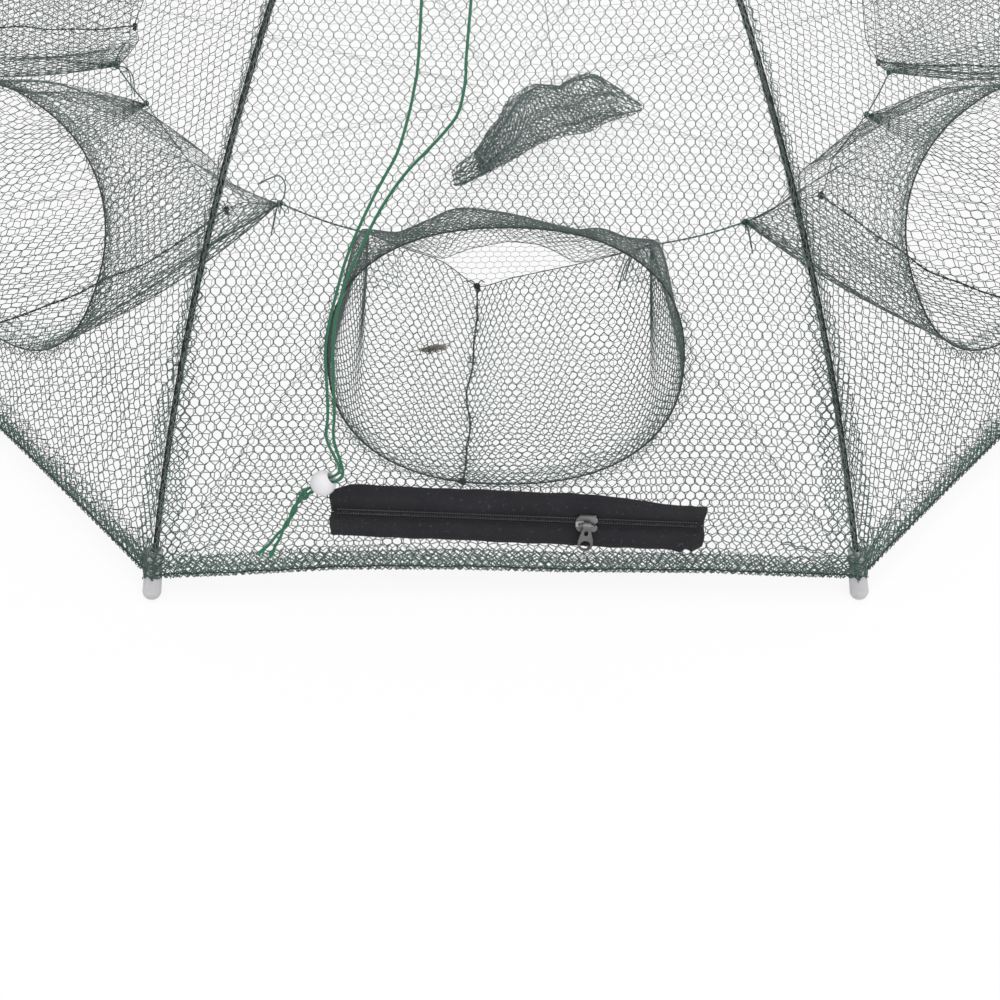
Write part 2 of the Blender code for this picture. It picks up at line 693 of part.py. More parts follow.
def zip_window():
    """The slot cut in panel 1's net behind the zip, in the pattern's (x, s)."""
    half_x = ZIP_LENGTH / 2 - ZIP_END_BAR
    half_y = SLIDER_WIDTH / 2 + 3 * SIDE_PLAY
    corners = [(-half_x, half_y), (-half_x, -half_y), (half_x, -half_y), (half_x, half_y)]
    cos = math.cos(ZIP_TILT)
    sin = math.sin(ZIP_TILT)
    return [
        (ZIP_CENTRE_X + x * cos - y * sin, ZIP_CENTRE_S - x * sin - y * cos) for x, y in corners
    ]


def entrance_mesh():
    """Panel 1's entrance: the wire hoop, the funnel net sewn to it and one corner tie."""
    hoop = tube([on_panel(x, s) for x, s in hoop_outline(0)], HOOP_WIRE_DIAMETER, True, 1)
    mouth = [on_panel(x, s) for x, s in hoop_outline(-NET_THICKNESS / 4)]
    slit = []
    for i in range(HOOP_POINTS):
        turn = 2 * math.pi * i / HOOP_POINTS
        side = max(-1.0, min(1.0, SLIT_FLATNESS * math.cos(turn)))
        x = (SLIT_HALF_LENGTH - SLIT_HALF_HEIGHT) * side + SLIT_HALF_HEIGHT * math.cos(turn)
        z = SLIT_HEIGHT - SLIT_HALF_HEIGHT * math.sin(turn)
        slit.append(Vector((x, -SLIT_DISTANCE, z)))
    faces = []
    for a in range(HOOP_POINTS):
        b = (a + 1) % HOOP_POINTS
        faces.append((a, b, b + HOOP_POINTS, a + HOOP_POINTS))
    mesh = bpy.data.meshes.new("funnel")
    mesh.from_pydata(mouth + slit, [], faces)
    placed = add("funnel", mesh)
    shell = placed.modifiers.new("Thickness", "SOLIDIFY")
    shell.thickness = NET_THICKNESS
    shell.offset = 0.0
    shell.use_even_offset = True
    funnel = bake(placed)
    corner = slit[0]
    next_corner = Matrix.Rotation(STEP, 4, "Z") @ slit[HOOP_POINTS // 2]
    way = (next_corner - corner).normalized()
    gap = TIE_DIAMETER / 2 + CLEARANCE
    tie = tube([corner - way * NET_THICKNESS / 2, corner.lerp(next_corner, 0.5),
                next_corner - way * gap], TIE_DIAMETER, resolution=1)
    return combine(hoop, [funnel, tie], "UNION")


def floor_mesh():
    """One sector of the floor net, hung from the hem, with its corners clear of the caps."""
    gap = CLEARANCE
    inset = CORNER_NOTCH_WIDTH
    depth = net_axis(HEM_S)[0] * math.cos(HALF) - NET_THICKNESS - CLEARANCE
    side_slope = math.tan(HALF)
    inner = FLOOR_HUB_RADIUS
    half_outer = HEM_SIDE / 2 - inset
    shoulder = (HEM_SIDE / 2 - inset / 2) / side_slope - inset
    outline = [(-half_outer, -depth), (half_outer, -depth), (shoulder * side_slope - gap, -shoulder),
               (inner * side_slope - gap, -inner), (gap - inner * side_slope, -inner),
               (gap - shoulder * side_slope, -shoulder)]
    pitch = MESH_GAP_HEIGHT * 2
    gaps = []
    for row, y in enumerate((depth - pitch, depth - 2 * pitch, depth - 3.1 * pitch)):
        room = 2 * (y - MESH_GAP_HEIGHT / 2) * side_slope - MESH_GAP_WIDTH / 2
        count = max(min(int(room / (2 * MESH_GAP_WIDTH)), 3 - row), 1)
        for i in range(count):
            gaps.append(mesh_gap((i - (count - 1) / 2) * 2 * MESH_GAP_WIDTH, -y))
    return net_sheet("floor", outline, gaps, lambda x, y: Vector((x, y, HEM_HEIGHT)))


def make_nets():
    """Panels, entrances and floor sectors, each on an empty at its fold line."""
    outline = gore_outline()
    opening = hoop_outline(HOOP_WIRE_DIAMETER / 2 + CLEARANCE)
    gaps = gore_gaps() + [opening]
    plain = net_sheet("gore", outline, gaps, on_panel)
    with_zip = net_sheet("gore_zip", outline, gaps + [zip_window()], on_panel)
    entrance = entrance_mesh()
    floor = floor_mesh()
    fold_radius = PIVOT_RADIUS * math.cos(HALF)
    hem_radius = HEM_RADIUS * math.cos(HALF)
    panels = []
    for k in range(SIDES):
        turn = panel_turn(k)
        out = Vector((math.cos(FRONT + turn), math.sin(FRONT + turn), 0))
        fold = empty(f"panel_{k + 1}_fold", fold_radius * out + Vector((0, 0, PIVOT_HEIGHT)), turn)
        hem = empty(f"floor_{k + 1}_fold", hem_radius * out + Vector((0, 0, HEM_HEIGHT)), turn, fold)
        spin = Matrix.Rotation(turn, 4, "Z")
        net = with_zip if k == 0 else plain
        keep_world(finish(f"gore_{k + 1}", moved(net.copy(), spin), NET), fold)
        keep_world(finish(f"entrance_{k + 1}", moved(entrance.copy(), spin), FUNNEL_NET), fold)
        keep_world(finish(f"floor_{k + 1}", moved(floor.copy(), spin), NET), hem)
        panels.append(fold)
    return panels


def make_zip(panel):
    """The zip on panel 1: tape, coil halves, slider and pull."""
    tape_out = NET_THICKNESS / 2 + CLEARANCE + ZIP_THICKNESS / 2
    x = ZIP_LENGTH / 2
    y = ZIP_WIDTH / 2
    bevel = ZIP_CORNER
    edge = [(-x, y - bevel), (-x, bevel - y), (bevel - x, -y), (x - bevel, -y), (x, bevel - y),
            (x, y - bevel), (x - bevel, y), (bevel - x, y)]
    slit = x - ZIP_END_BAR
    cut = [(-slit, ZIP_SLIT / 2), (-slit, -ZIP_SLIT / 2), (slit, -ZIP_SLIT / 2),
           (slit, ZIP_SLIT / 2)]
    tape = moved(plate([edge, cut], ZIP_THICKNESS), zip_matrix(0, tape_out))
    keep_world(finish("zip_tape", tape, TAPE), panel)

    coil_low = ZIP_THICKNESS / 2 + CLEARANCE
    coil_high = coil_low + COIL_HEIGHT
    near = ZIP_SLIT / 2
    far = near + COIL_WIDTH
    stop = slit + ZIP_SLIT
    row = [(-stop, far), (-stop, -far), (stop, -far), (stop, far)]
    gap = [(-slit, near), (-slit, -near), (slit, -near), (slit, near)]
    ridge = plate([row, gap], COIL_HEIGHT)
    coil = add("coil", moved(ridge, zip_matrix(0, tape_out + (coil_low + coil_high) / 2)))
    soften = coil.modifiers.new("Round", "BEVEL")
    soften.width = COIL_HEIGHT * 0.25
    soften.segments = 1
    soften.limit_method = "ANGLE"
    keep_world(finish("zip_coil", bake(coil), COIL), panel)

    track = empty("zip_slider_track", (0, 0, 0), 0.0, panel)
    track.matrix_basis = parent_world(panel).inverted() @ zip_matrix(SLIDER_AT, tape_out)
    w = SLIDER_WIDTH / 2
    web = ZIP_SLIT / 2 - CLEARANCE
    back = -ZIP_THICKNESS / 2 - CLEARANCE
    front = coil_high + CLEARANCE
    foot = coil_low
    rim = w - SLIDER_FLANGE
    top = front + SLIDER_PLATE
    section = [(-w, back - SLIDER_PLATE), (w, back - SLIDER_PLATE), (w, back), (web, back),
               (web, front), (rim, front), (rim, foot), (w, foot), (w, top), (-w, top),
               (-w, foot), (-rim, foot), (-rim, front), (-web, front), (-web, back), (-w, back)]
    stand_up = Matrix.Rotation(math.pi / 2, 4, "Z") @ Matrix.Rotation(math.pi / 2, 4, "X")
    body = moved(plate([section], SLIDER_LENGTH), stand_up)
    bar_height = top + BRIDGE_RISE
    half = BRIDGE_LENGTH / 2
    sink = top - SLIDER_PLATE / 2
    bridge = tube([(-half, 0, sink), (-half, 0, bar_height - BRIDGE_DIAMETER / 2),
                   (BRIDGE_DIAMETER / 2 - half, 0, bar_height),
                   (half - BRIDGE_DIAMETER / 2, 0, bar_height),
                   (half, 0, bar_height - BRIDGE_DIAMETER / 2), (half, 0, sink)], BRIDGE_DIAMETER)
    finish("zip_slider", combine(body, [bridge], "UNION"), GUNMETAL, track)

    hinge = empty("zip_pull_hinge", (0, 0, 0), 0.0, track)
    hinge.matrix_basis = Matrix.Translation((0, 0, bar_height))
    barrel_length = BRIDGE_LENGTH - 2 * BRIDGE_DIAMETER - 2 * CLEARANCE
    barrel = cylinder(BARREL_DIAMETER / 2, barrel_length, "X")
    bore = cylinder(BRIDGE_DIAMETER / 2 + CLEARANCE, BRIDGE_LENGTH, "X")
    near_y = -BARREL_DIAMETER * 0.35
    half_w = PULL_WIDTH / 2
    slot_y = near_y - PULL_SLOT_WIDTH / 2
    end = [(-barrel_length / 2, near_y), (-half_w, near_y - PULL_WIDTH)]
    for i in range(7):
        turn = math.pi + i * math.pi / 6
        end.append((half_w * math.cos(turn), half_w * math.sin(turn) - PULL_LENGTH + half_w))
    end += [(half_w, near_y - PULL_WIDTH), (barrel_length / 2, near_y)]
    eye = [(PULL_HOLE / 2 * math.cos(i * math.pi / 5),
            PULL_HOLE / 2 * math.sin(i * math.pi / 5) - PULL_LENGTH + half_w) for i in range(10)]
    slot = []
    for i in range(8):
        turn = math.pi * (i - i // 4) / 3
        foot = 0.0 if i < 4 else PULL_SLOT_WIDTH - PULL_SLOT_LENGTH
        slot.append((PULL_SLOT_WIDTH / 2 * math.cos(turn),
                     PULL_SLOT_WIDTH / 2 * (math.sin(turn) - 1) + slot_y + foot))
    tab = plate([end, eye, slot], PULL_THICKNESS)
    pull = combine(combine(barrel, [tab], "UNION"), [bore], "DIFFERENCE")
    lie_down = Matrix.Rotation(-PULL_REST, 4, "X")
    finish("zip_pull", moved(pull, lie_down), GUNMETAL, hinge)


def make_bag(runner):
    """The bait bag: a pinched pouch lying on the floor, on a thread from the runner."""
    work = bmesh.new()
    bmesh.ops.create_uvsphere(work, u_segments=14, v_segments=8, radius=1.0)
    for vert in work.verts:
        x, y, z = vert.co.yxz
        pinch = math.sqrt(max(0.0, 1 - x * x)) ** BAG_PINCH
        vert.co = Vector((
            x * BAG_LENGTH / 2,
            y * BAG_WIDTH / 2 * pinch,
            BAG_HEIGHT / 2 * (1 + max(z, BAG_FLAT_BASE) * (1 - BAG_LEAN * (1 - x))),
        ))
    mesh = bpy.data.meshes.new("bag")
    work.to_mesh(mesh)
    work.free()
    lowest = min(v.co.z for v in mesh.vertices)
    base = Vector((*BAG_CENTRE, FLOOR_TOP + CLEARANCE - lowest))
    pouch = moved(mesh, Matrix.Translation(base) @ Matrix.Rotation(BAG_TURN, 4, "Z"))
    start = base + Vector((0, 0, BAG_HEIGHT * 0.8))
    stop = Vector((0, 0, RUNNER_HEIGHT - PIN_LAG - RUNNER_RIM - CLEARANCE))
    thread = tube([start, start.lerp(stop, 0.5), stop], THREAD_DIAMETER, resolution=1)
    bag = combine(pouch, [thread], "UNION")
    keep_world(finish("bait_bag", bag, BAG), runner)


def smooth_path(points):
    """Points along a Catmull-Rom curve through hand-chosen points, CORD_STEPS to a span."""
    ends = [2 * points[0] - points[1]] + points + [2 * points[-1] - points[-2]]
    path = []
    for a, b, c, d in zip(ends, ends[1:], ends[2:], ends[3:]):
        for i in range(CORD_STEPS):
            t = i / CORD_STEPS
            path.append(0.5 * (2 * b + (c - a) * t + (2 * a - 5 * b + 4 * c - d) * t * t
                               + (3 * b - a - 3 * c + d) * t ** 3))
    return path + [points[-1]]


# The cord's route over panel 1, chosen by hand: x, s and height above the net, in metres
LEFT_STRAND = [(-0.021, 0.060, 0.0035), (-0.031, 0.150, 0.003), (-0.039, 0.250, 0.003),
               (-0.0434, 0.341, 0.003), (-0.0461, 0.362, 0.003), (-0.0494, 0.377, 0.003),
               (-0.0544, 0.393, 0.003), (-0.0606, 0.4046, 0.003), (-0.0668, 0.416, 0.003),
               (-0.0746, 0.4321, 0.003), (-0.0813, 0.4484, 0.0032), (-0.0857, 0.4631, 0.0034),
               (-0.0898, 0.4784, 0.0036), (-0.0922, 0.4915, 0.0038), (-0.0926, 0.503, 0.0038),
               (-0.0923, 0.516, 0.0036), (-0.0924, 0.529, 0.0036), (-0.0932, 0.542, 0.0045)]
RIGHT_STRAND = [(0.004, 0.060, 0.0035), (-0.004, 0.150, 0.003), (-0.012, 0.250, 0.003),
                (-0.0195, 0.341, 0.003), (-0.0199, 0.3515, 0.003), (-0.0212, 0.3625, 0.003),
                (-0.0242, 0.3735, 0.003), (-0.0304, 0.3822, 0.003), (-0.0394, 0.392, 0.003),
                (-0.0491, 0.4021, 0.003), (-0.0578, 0.4135, 0.003), (-0.0658, 0.4265, 0.003),
                (-0.0730, 0.441, 0.0032), (-0.0800, 0.4555, 0.0034), (-0.0843, 0.4684, 0.0036),
                (-0.0870, 0.4784, 0.0038), (-0.0884, 0.4905, 0.0040), (-0.0888, 0.503, 0.0038),
                (-0.0889, 0.516, 0.0036), (-0.0890, 0.529, 0.0036), (-0.0896, 0.542, 0.0045)]
BEAD_RUN = 0.0124
BEAD_AT = (-0.0955, 0.5644, 0.0085)
KNOT_AT = (-0.1066, 0.5720, 0.0050)
TAILS = [[(-0.1118, 0.5765, 0.0026), (-0.1170, 0.5870, 0.0022), (-0.1245, 0.5985, 0.0019),
          (-0.1335, 0.6090, 0.0019)],
         [(-0.1090, 0.5790, 0.0026), (-0.1145, 0.5895, 0.0022), (-0.1212, 0.6000, 0.0019),
          (-0.1275, 0.6110, 0.0019)]]


def make_cord():
    """The doubled pull cord over panel 1, with the bead and the knot that end it."""
    bead_at = on_panel(*BEAD_AT)
    knot_at = on_panel(*KNOT_AT)
    way = (knot_at - bead_at).normalized()
    outward = on_panel(*BEAD_AT[:2], 1.0) - on_panel(*BEAD_AT[:2])
    side = way.cross(outward).normalized()
    top = PIVOT_HEIGHT + STEM_HEAD_HEIGHT / 2
    foot = top - CORD_SOCKET_DEPTH + CLEARANCE
    over = PIVOT_HEIGHT + CAP_TOP_HEIGHT
    half = CORD_GAP / 2
    strands = []
    for sign, route in ((-1, LEFT_STRAND), (1, RIGHT_STRAND)):
        x = sign * half
        points = [Vector((x, 0, foot)), Vector((x, 0, over - 0.001)),
                  Vector((x * 1.2, -0.006, over + 0.0045)), Vector((x * 1.6, -0.020, over + 0.0035)),
                  Vector((x * 2.0, -0.034, over + 0.0012)), Vector((x * 2.4, -0.0455, over - 0.0070))]
        points += [on_panel(*place) for place in route]
        points += [bead_at - BEAD_RUN * way - sign * half * side, bead_at - sign * half * side,
                   knot_at - sign * half * side * 0.8]
        strands.append(tube(smooth_path(points), CORD_DIAMETER))
    work = bmesh.new()
    bmesh.ops.create_icosphere(work, subdivisions=1, radius=KNOT_SIZE / 2)
    knot = bpy.data.meshes.new("knot")
    work.to_mesh(knot)
    work.free()
    facing = way.to_track_quat("Z", "Y").to_matrix().to_4x4()
    moved(knot, Matrix.Translation(knot_at) @ facing)
    for tail in TAILS:
        strands.append(tube([knot_at] + [on_panel(*place) for place in tail], CORD_DIAMETER))
    finish("pull_cord", combine(knot, strands, "UNION"), CORD)

    r = BEAD_DIAMETER / 2
    start = math.asin(BEAD_BORE / 2 / r)
    profile = []
    for i in range(7):
        turn = start + (math.pi - 2 * start) * i / 6
        profile.append((r * math.sin(turn), r * math.cos(turn)))
    bead = turned(profile, 14, closed=True)
    finish("pull_bead", moved(bead, Matrix.Translation(bead_at) @ facing), BEAD)


make_crown()
RUNNER = make_runner()
make_ribs()
PANELS = make_nets()
make_zip(PANELS[0])
make_bag(RUNNER)
make_cord()
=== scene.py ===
"""Looks of the folding fish trap: its nets, frame, zip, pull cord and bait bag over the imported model."""

import sys
import logging
import math
from collections.abc import Callable, Sequence
from dataclasses import dataclass
from enum import Enum
from functools import cached_property
from typing import Any

import bmesh
import bpy
import numpy as np
from mathutils import Matrix, Vector


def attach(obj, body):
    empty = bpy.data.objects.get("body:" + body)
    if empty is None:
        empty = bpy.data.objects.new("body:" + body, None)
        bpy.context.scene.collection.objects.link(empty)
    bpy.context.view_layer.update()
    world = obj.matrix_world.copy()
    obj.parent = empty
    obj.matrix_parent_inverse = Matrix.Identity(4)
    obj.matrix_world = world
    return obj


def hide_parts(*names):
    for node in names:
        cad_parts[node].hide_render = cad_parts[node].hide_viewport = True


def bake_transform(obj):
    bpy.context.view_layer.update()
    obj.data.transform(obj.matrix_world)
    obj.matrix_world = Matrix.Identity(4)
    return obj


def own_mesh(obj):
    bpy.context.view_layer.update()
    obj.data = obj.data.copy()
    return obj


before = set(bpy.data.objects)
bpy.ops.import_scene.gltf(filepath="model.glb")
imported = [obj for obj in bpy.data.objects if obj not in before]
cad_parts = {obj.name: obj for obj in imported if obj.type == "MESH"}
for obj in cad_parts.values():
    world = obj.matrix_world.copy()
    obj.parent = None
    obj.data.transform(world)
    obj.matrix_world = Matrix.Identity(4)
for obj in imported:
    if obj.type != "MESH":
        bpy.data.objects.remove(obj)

log = logging.getLogger("fish_trap")
Array = np.ndarray
Colour = tuple[float, float, float]
BESIDE = (1, 7)
NEAR = (0, *BESIDE)
TURN_STEPS = 721


class Signal:
    """A node's output that takes part in Python arithmetic."""

    def __init__(self, board: "Board", socket: bpy.types.NodeSocket) -> None:
        """Wrap one socket of a board.

        Args:
            board: The material's board.
            socket: The output that carries the value.
        """
        self.board = board
        self.socket = socket

    def maths(self, operation: str, *values: Any) -> "Signal":
        """Return the result of a Math node.

        Args:
            operation: The Math node's operation.
            values: Its inputs in order, numbers or signals.

        Returns:
            The node's value.
        """
        return self.board.node("ShaderNodeMath", {"operation": operation}, dict(enumerate(values)))

    def __add__(self, other: Any) -> "Signal":
        """Add a value."""
        return self.maths("ADD", self, other)

    def __radd__(self, other: Any) -> "Signal":
        """Add to a value."""
        return self.maths("ADD", other, self)

    def __sub__(self, other: Any) -> "Signal":
        """Take away a value."""
        return self.maths("SUBTRACT", self, other)

    def __rsub__(self, other: Any) -> "Signal":
        """Take this from a value."""
        return self.maths("SUBTRACT", other, self)

    def __mul__(self, other: Any) -> "Signal":
        """Multiply by a value."""
        return self.maths("MULTIPLY", self, other)

    def __rmul__(self, other: Any) -> "Signal":
        """Multiply a value."""
        return self.maths("MULTIPLY", other, self)

    def __pow__(self, other: Any) -> "Signal":
        """Raise to a power."""
        return self.maths("POWER", self, other)

    def above(self, level: float) -> "Signal":
        """Return 1 where the value is above a level, and else 0."""
        return self.maths("GREATER_THAN", self, level)

    def ripple(self, pitch: float) -> "Signal":
        """Return a wave from 0 to 1 that repeats every pitch."""
        return self.maths("SINE", self * (2 * math.pi / pitch)) * 0.5 + 0.5

    def spread(self, low: float, high: float) -> "Signal":
        """Return 0 at low, 1 at high, and an even change between."""
        settings = {"clamp": True}
        return self.board.node("ShaderNodeMapRange", settings, {0: self, 1: low, 2: high, 3: 0.0, 4: 1.0})


class Board:
    """The node tree of one material."""

    def __init__(self, name: str) -> None:
        """Start an empty material of that name."""
        self.material = bpy.data.materials.new(name)
        self.material.use_nodes = True
        self.tree = self.material.node_tree
        self.tree.nodes.clear()

    def node(self, kind: str, settings: dict[str, Any] | None = None,
             inputs: dict[Any, Any] | None = None, output: Any = 0) -> Signal:
        """Add a node of any type.

        Args:
            kind: The node's type.
            settings: Its properties, set first; stops sets a ramp's positions and colours.
            inputs: Values or signals by socket number or name.
            output: The number or name of the output to return.

        Returns:
            The chosen output.
        """
        made = self.tree.nodes.new(kind)
        for key, value in (settings or {}).items():
            if key == "stops":
                ramp = made.color_ramp.elements
                while len(ramp) < len(value):
                    ramp.new(1.0)
                for stop, (place, colour) in zip(ramp, value):
                    stop.position = place
                    stop.color = (*colour, 1.0)
            else:
                setattr(made, key, value)
        for key, value in (inputs or {}).items():
            if isinstance(value, Signal):
                self.tree.links.new(value.socket, made.inputs[key])
            elif isinstance(value, tuple) and len(value) == 3 and made.inputs[key].type == "RGBA":
                made.inputs[key].default_value = (*value, 1.0)
            else:
                made.inputs[key].default_value = value
        return Signal(self, made.outputs[output])

    def place(self, scale: Colour = (1.0, 1.0, 1.0), turn: Colour = (0.0, 0.0, 0.0),
              kind: str = "Object") -> Signal:
        """Return a place on the piece, in metres of its own frame or in its UV map."""
        where = self.node("ShaderNodeTexCoord", output=kind)
        return self.node("ShaderNodeMapping", {}, {"Vector": where, "Scale": scale, "Rotation": turn})

    def parts(self, vector: Signal) -> tuple[Signal, Signal, Signal]:
        """Split a vector into its three numbers."""
        first = self.node("ShaderNodeSeparateXYZ", {}, {0: vector})
        node = first.socket.node
        return first, Signal(self, node.outputs[1]), Signal(self, node.outputs[2])

    def noise(self, where: Signal, scale: float, detail: float = 2.0, roughness: float = 0.5) -> Signal:
        """Return smooth noise from 0 to 1."""
        return self.node("ShaderNodeTexNoise", {}, {"Vector": where, "Scale": scale, "Detail": detail,
                                                    "Roughness": roughness})

    def mix(self, factor: Any, first: Any, second: Any) -> Signal:
        """Return a colour between two, by a factor from 0 to 1."""
        return self.node("ShaderNodeMix", {"data_type": "RGBA"}, {0: factor, 6: first, 7: second}, 2)

    def bump(self, height: Signal, distance: float, strength: float = 1.0) -> Signal:
        """Return a normal raised by a height that runs from 0 to 1 over a distance in metres."""
        return self.node("ShaderNodeBump", {}, {"Height": height, "Distance": distance, "Strength": strength})

    def surface(self, **sockets: Any) -> bpy.types.Material:
        """Close the tree with a Principled shader.

        Args:
            sockets: Its inputs by name, with underscores for spaces.

        Returns:
            The finished material.
        """
        named = {key.replace("_", " "): value for key, value in sockets.items()}
        shader = self.node("ShaderNodeBsdfPrincipled", {}, named)
        self.node_output(shader)
        return self.material

    def node_output(self, shader: Signal) -> None:
        """Send a shader to the material's output."""
        end = self.tree.nodes.new("ShaderNodeOutputMaterial")
        self.tree.links.new(shader.socket, end.inputs["Surface"])


@dataclass(frozen=True)
class Finish:
    """A named finish that is made into a material once."""

    name: str

    def build(self, board: Board) -> bpy.types.Material:
        """Dress the board; each finish has its own."""
        raise NotImplementedError

    def material(self) -> bpy.types.Material:
        """Return the material, made at its first use."""
        return bpy.data.materials.get(self.name) or self.build(Board(self.name))


@dataclass(frozen=True)
class Twine(Finish):
    """Twisted polyethylene twine: blotched colour, fine fibre flecks and a dull sheen."""

    dark: Colour
    pale: Colour
    roughness: float = 0.6
    fleck: float = 0.35

    def blotched(self, board: Board, where: Signal) -> tuple[Signal, Signal, Signal]:
        """Return broad dirt, fine fibres and the two shades blended by both."""
        broad = board.noise(where, 14.0, 3.0).spread(0.35, 0.65)
        fibre = board.noise(where, 2600.0, 2.0)
        return broad, fibre, board.mix(broad * (1.0 - self.fleck) + fibre * self.fleck, self.dark, self.pale)

    def build(self, board: Board) -> bpy.types.Material:
        """Darken the blotched shades along the yarn's twist."""
        _, fibre, shade = self.blotched(board, board.place())
        twist = board.noise(board.place((900.0, 900.0, 260.0)), 1.0, 1.0)
        shade = board.mix(twist.spread(0.55, 0.8) * 0.35, shade, tuple(0.35 * c for c in self.dark))
        return board.surface(Base_Color=shade, Roughness=self.roughness + fibre * 0.25 - 0.12,
                             Normal=board.bump(fibre * 0.5 + twist * 0.5, 0.00012, 0.6),
                             Sheen_Weight=0.15, Specular_IOR_Level=0.35)


@dataclass(frozen=True)
class FloorTwine(Twine):
    """The floor's thin twine: pale in the middle as painted light, and as dark as the rest near the hem."""

    hem: Colour = (0.060, 0.095, 0.085)
    starts: float = 0.24
    ends: float = 0.42

    def build(self, board: Board) -> bpy.types.Material:
        """Blend from the painted-light pale shades in the middle of the floor to the twine's dark colour at its hem.
        """
        where = board.node("ShaderNodeTexCoord", output="Object")
        flat = board.node("ShaderNodeVectorMath", {"operation": "MULTIPLY"}, {0: where, 1: (1.0, 1.0, 0.0)})
        reach = board.node("ShaderNodeVectorMath", {"operation": "LENGTH"}, {0: flat}, "Value")
        broad, fibre, shade = self.blotched(board, where)
        # near runs from 0 in the painted-light pale middle to 1 at the hem, where the twine keeps its own dark
        # colour
        near = (reach + broad * 0.03).spread(self.starts, self.ends)
        return board.surface(Base_Color=board.mix(near, shade, self.hem), Roughness=self.roughness + fibre * 0.2,
                             Normal=board.bump(fibre, 0.0001, 0.5), Specular_IOR_Level=0.3)


@dataclass(frozen=True)
class RibSteel(Finish):
    """Blackened spring steel with drawn scratches and worn brighter streaks."""

    colour: Colour = (0.0075, 0.0078, 0.0090)
    worn: Colour = (0.040, 0.040, 0.041)

    def build(self, board: Board) -> bpy.types.Material:
        """Scratch the coat along the rod and let bare metal through in streaks."""
        where = board.place()
        streak = board.noise(board.place((240.0, 240.0, 30.0)), 1.0, 3.0)
        pits = board.noise(where, 1500.0, 2.0)
        wear = (streak * 0.7 + pits * 0.3).spread(0.58, 0.76)
        return board.surface(Base_Color=board.mix(wear, self.colour, self.worn), Metallic=0.25 + wear * 0.6,
                             Roughness=0.50 - wear * 0.12 + pits * 0.12,
                             Normal=board.bump(pits * 0.4 + streak * 0.6, 0.00008, 0.5))


@dataclass(frozen=True)
class Plated(Finish):
    """Zinc or nickel plate with a satin grain, cloudy stains and darker pits."""

    colour: Colour
    stain: Colour
    roughness: float = 0.32
    grain: float = 900.0

    def build(self, board: Board) -> bpy.types.Material:
        """Cloud the plate and scratch it finely."""
        where = board.place()
        cloud = board.noise(where, 60.0, 4.0).spread(0.38, 0.68)
        grain = board.noise(board.place((1.0, 0.12, 1.0)), self.grain, 2.0)
        shade = board.mix(cloud * 0.6 + grain * 0.2, self.colour, self.stain)
        return board.surface(Base_Color=shade, Metallic=0.95 - cloud * 0.2,
                             Roughness=self.roughness + cloud * 0.16 + grain * 0.12,
                             Normal=board.bump(grain, 0.00005, 0.5))


@dataclass(frozen=True)
class Moulding(Finish):
    """Injection-moulded plastic: a fine spark texture, faint flow clouding and rubbed edges."""

    colour: Colour
    rubbed: Colour
    roughness: float = 0.45
    clear: float = 0.0

    def build(self, board: Board) -> bpy.types.Material:
        """Grain the skin and cloud its colour."""
        where = board.place()
        flow = board.noise(where, 45.0, 3.0).spread(0.4, 0.7)
        spark = board.noise(where, 2200.0, 2.0)
        shade = board.mix(flow * 0.5 + spark * 0.15, self.colour, self.rubbed)
        return board.surface(Base_Color=shade, Roughness=self.roughness + spark * 0.15 + flow * 0.06,
                             Normal=board.bump(spark, 0.00006, 0.45), Transmission_Weight=self.clear,
                             IOR=1.46)


@dataclass(frozen=True)
class Braid(Finish):
    """Round braided cord: two sets of crossing strands along the piece's UV map."""

    colour: Colour
    deep: Colour
    strands: float = 8.0
    lay: float = 0.0021

    def build(self, board: Board) -> bpy.types.Material:
        """Cross two helical waves, u round the cord and v in metres along it."""
        round_it, along, _ = board.parts(board.place(kind="UV"))
        way = round_it * self.strands
        left = board.node("ShaderNodeMath", {"operation": "SINE"},
                          {0: (along * (1 / self.lay) + way * 0.25) * (2 * math.pi)})
        right = board.node("ShaderNodeMath", {"operation": "SINE"},
                           {0: (along * (1 / self.lay) - way * 0.25) * (2 * math.pi)})
        weave = (left * right) * 0.5 + 0.5
        fuzz = board.noise(board.place(), 2400.0, 2.0)
        shade = board.mix(weave * 0.75 + fuzz * 0.25, self.deep, self.colour)
        return board.surface(Base_Color=shade, Roughness=0.72 - weave * 0.14 + fuzz * 0.1,
                             Normal=board.bump(weave * 0.8 + fuzz * 0.2, 0.00022, 0.8), Sheen_Weight=0.3)


@dataclass(frozen=True)
class Herringbone(Finish):
    """Woven zip tape: twill that changes its lean in narrow stripes, with lint."""

    colour: Colour = (0.0022, 0.0018, 0.0034)
    pale: Colour = (0.0112, 0.0100, 0.0172)
    stripe: float = 0.0032
    rib: float = 0.00085

    def build(self, board: Board) -> bpy.types.Material:
        """Weave it on the UV map, which is in metres along and across the tape."""
        along, across, _ = board.parts(board.place(kind="UV"))
        lean = board.node("ShaderNodeMath", {"operation": "PINGPONG"}, {0: across, 1: self.stripe})
        twill = (along + lean * 1.3).ripple(self.rib)
        thread = across.ripple(0.00042) * 0.4 + along.ripple(0.0005) * 0.2
        fuzz = board.noise(board.place(), 1900.0, 3.0)
        lint = board.noise(board.place(), 620.0, 2.0).spread(0.63, 0.72)
        dust = board.noise(board.place(), 36.0, 3.0).spread(0.45, 0.8)
        shade = board.mix(twill * 0.35 + thread * 0.2 + fuzz.spread(0.35, 0.65) * 0.45, self.colour, self.pale)
        shade = board.mix(lint * 0.42 + dust * 0.12, shade, (0.085, 0.084, 0.096))
        return board.surface(Base_Color=shade, Roughness=0.86 - twill * 0.1 + fuzz * 0.08,
                             Normal=board.bump(twill * 0.6 + thread * 0.25 + fuzz * 0.15, 0.00028, 0.9),
                             Sheen_Weight=0.12, Specular_IOR_Level=0.40)


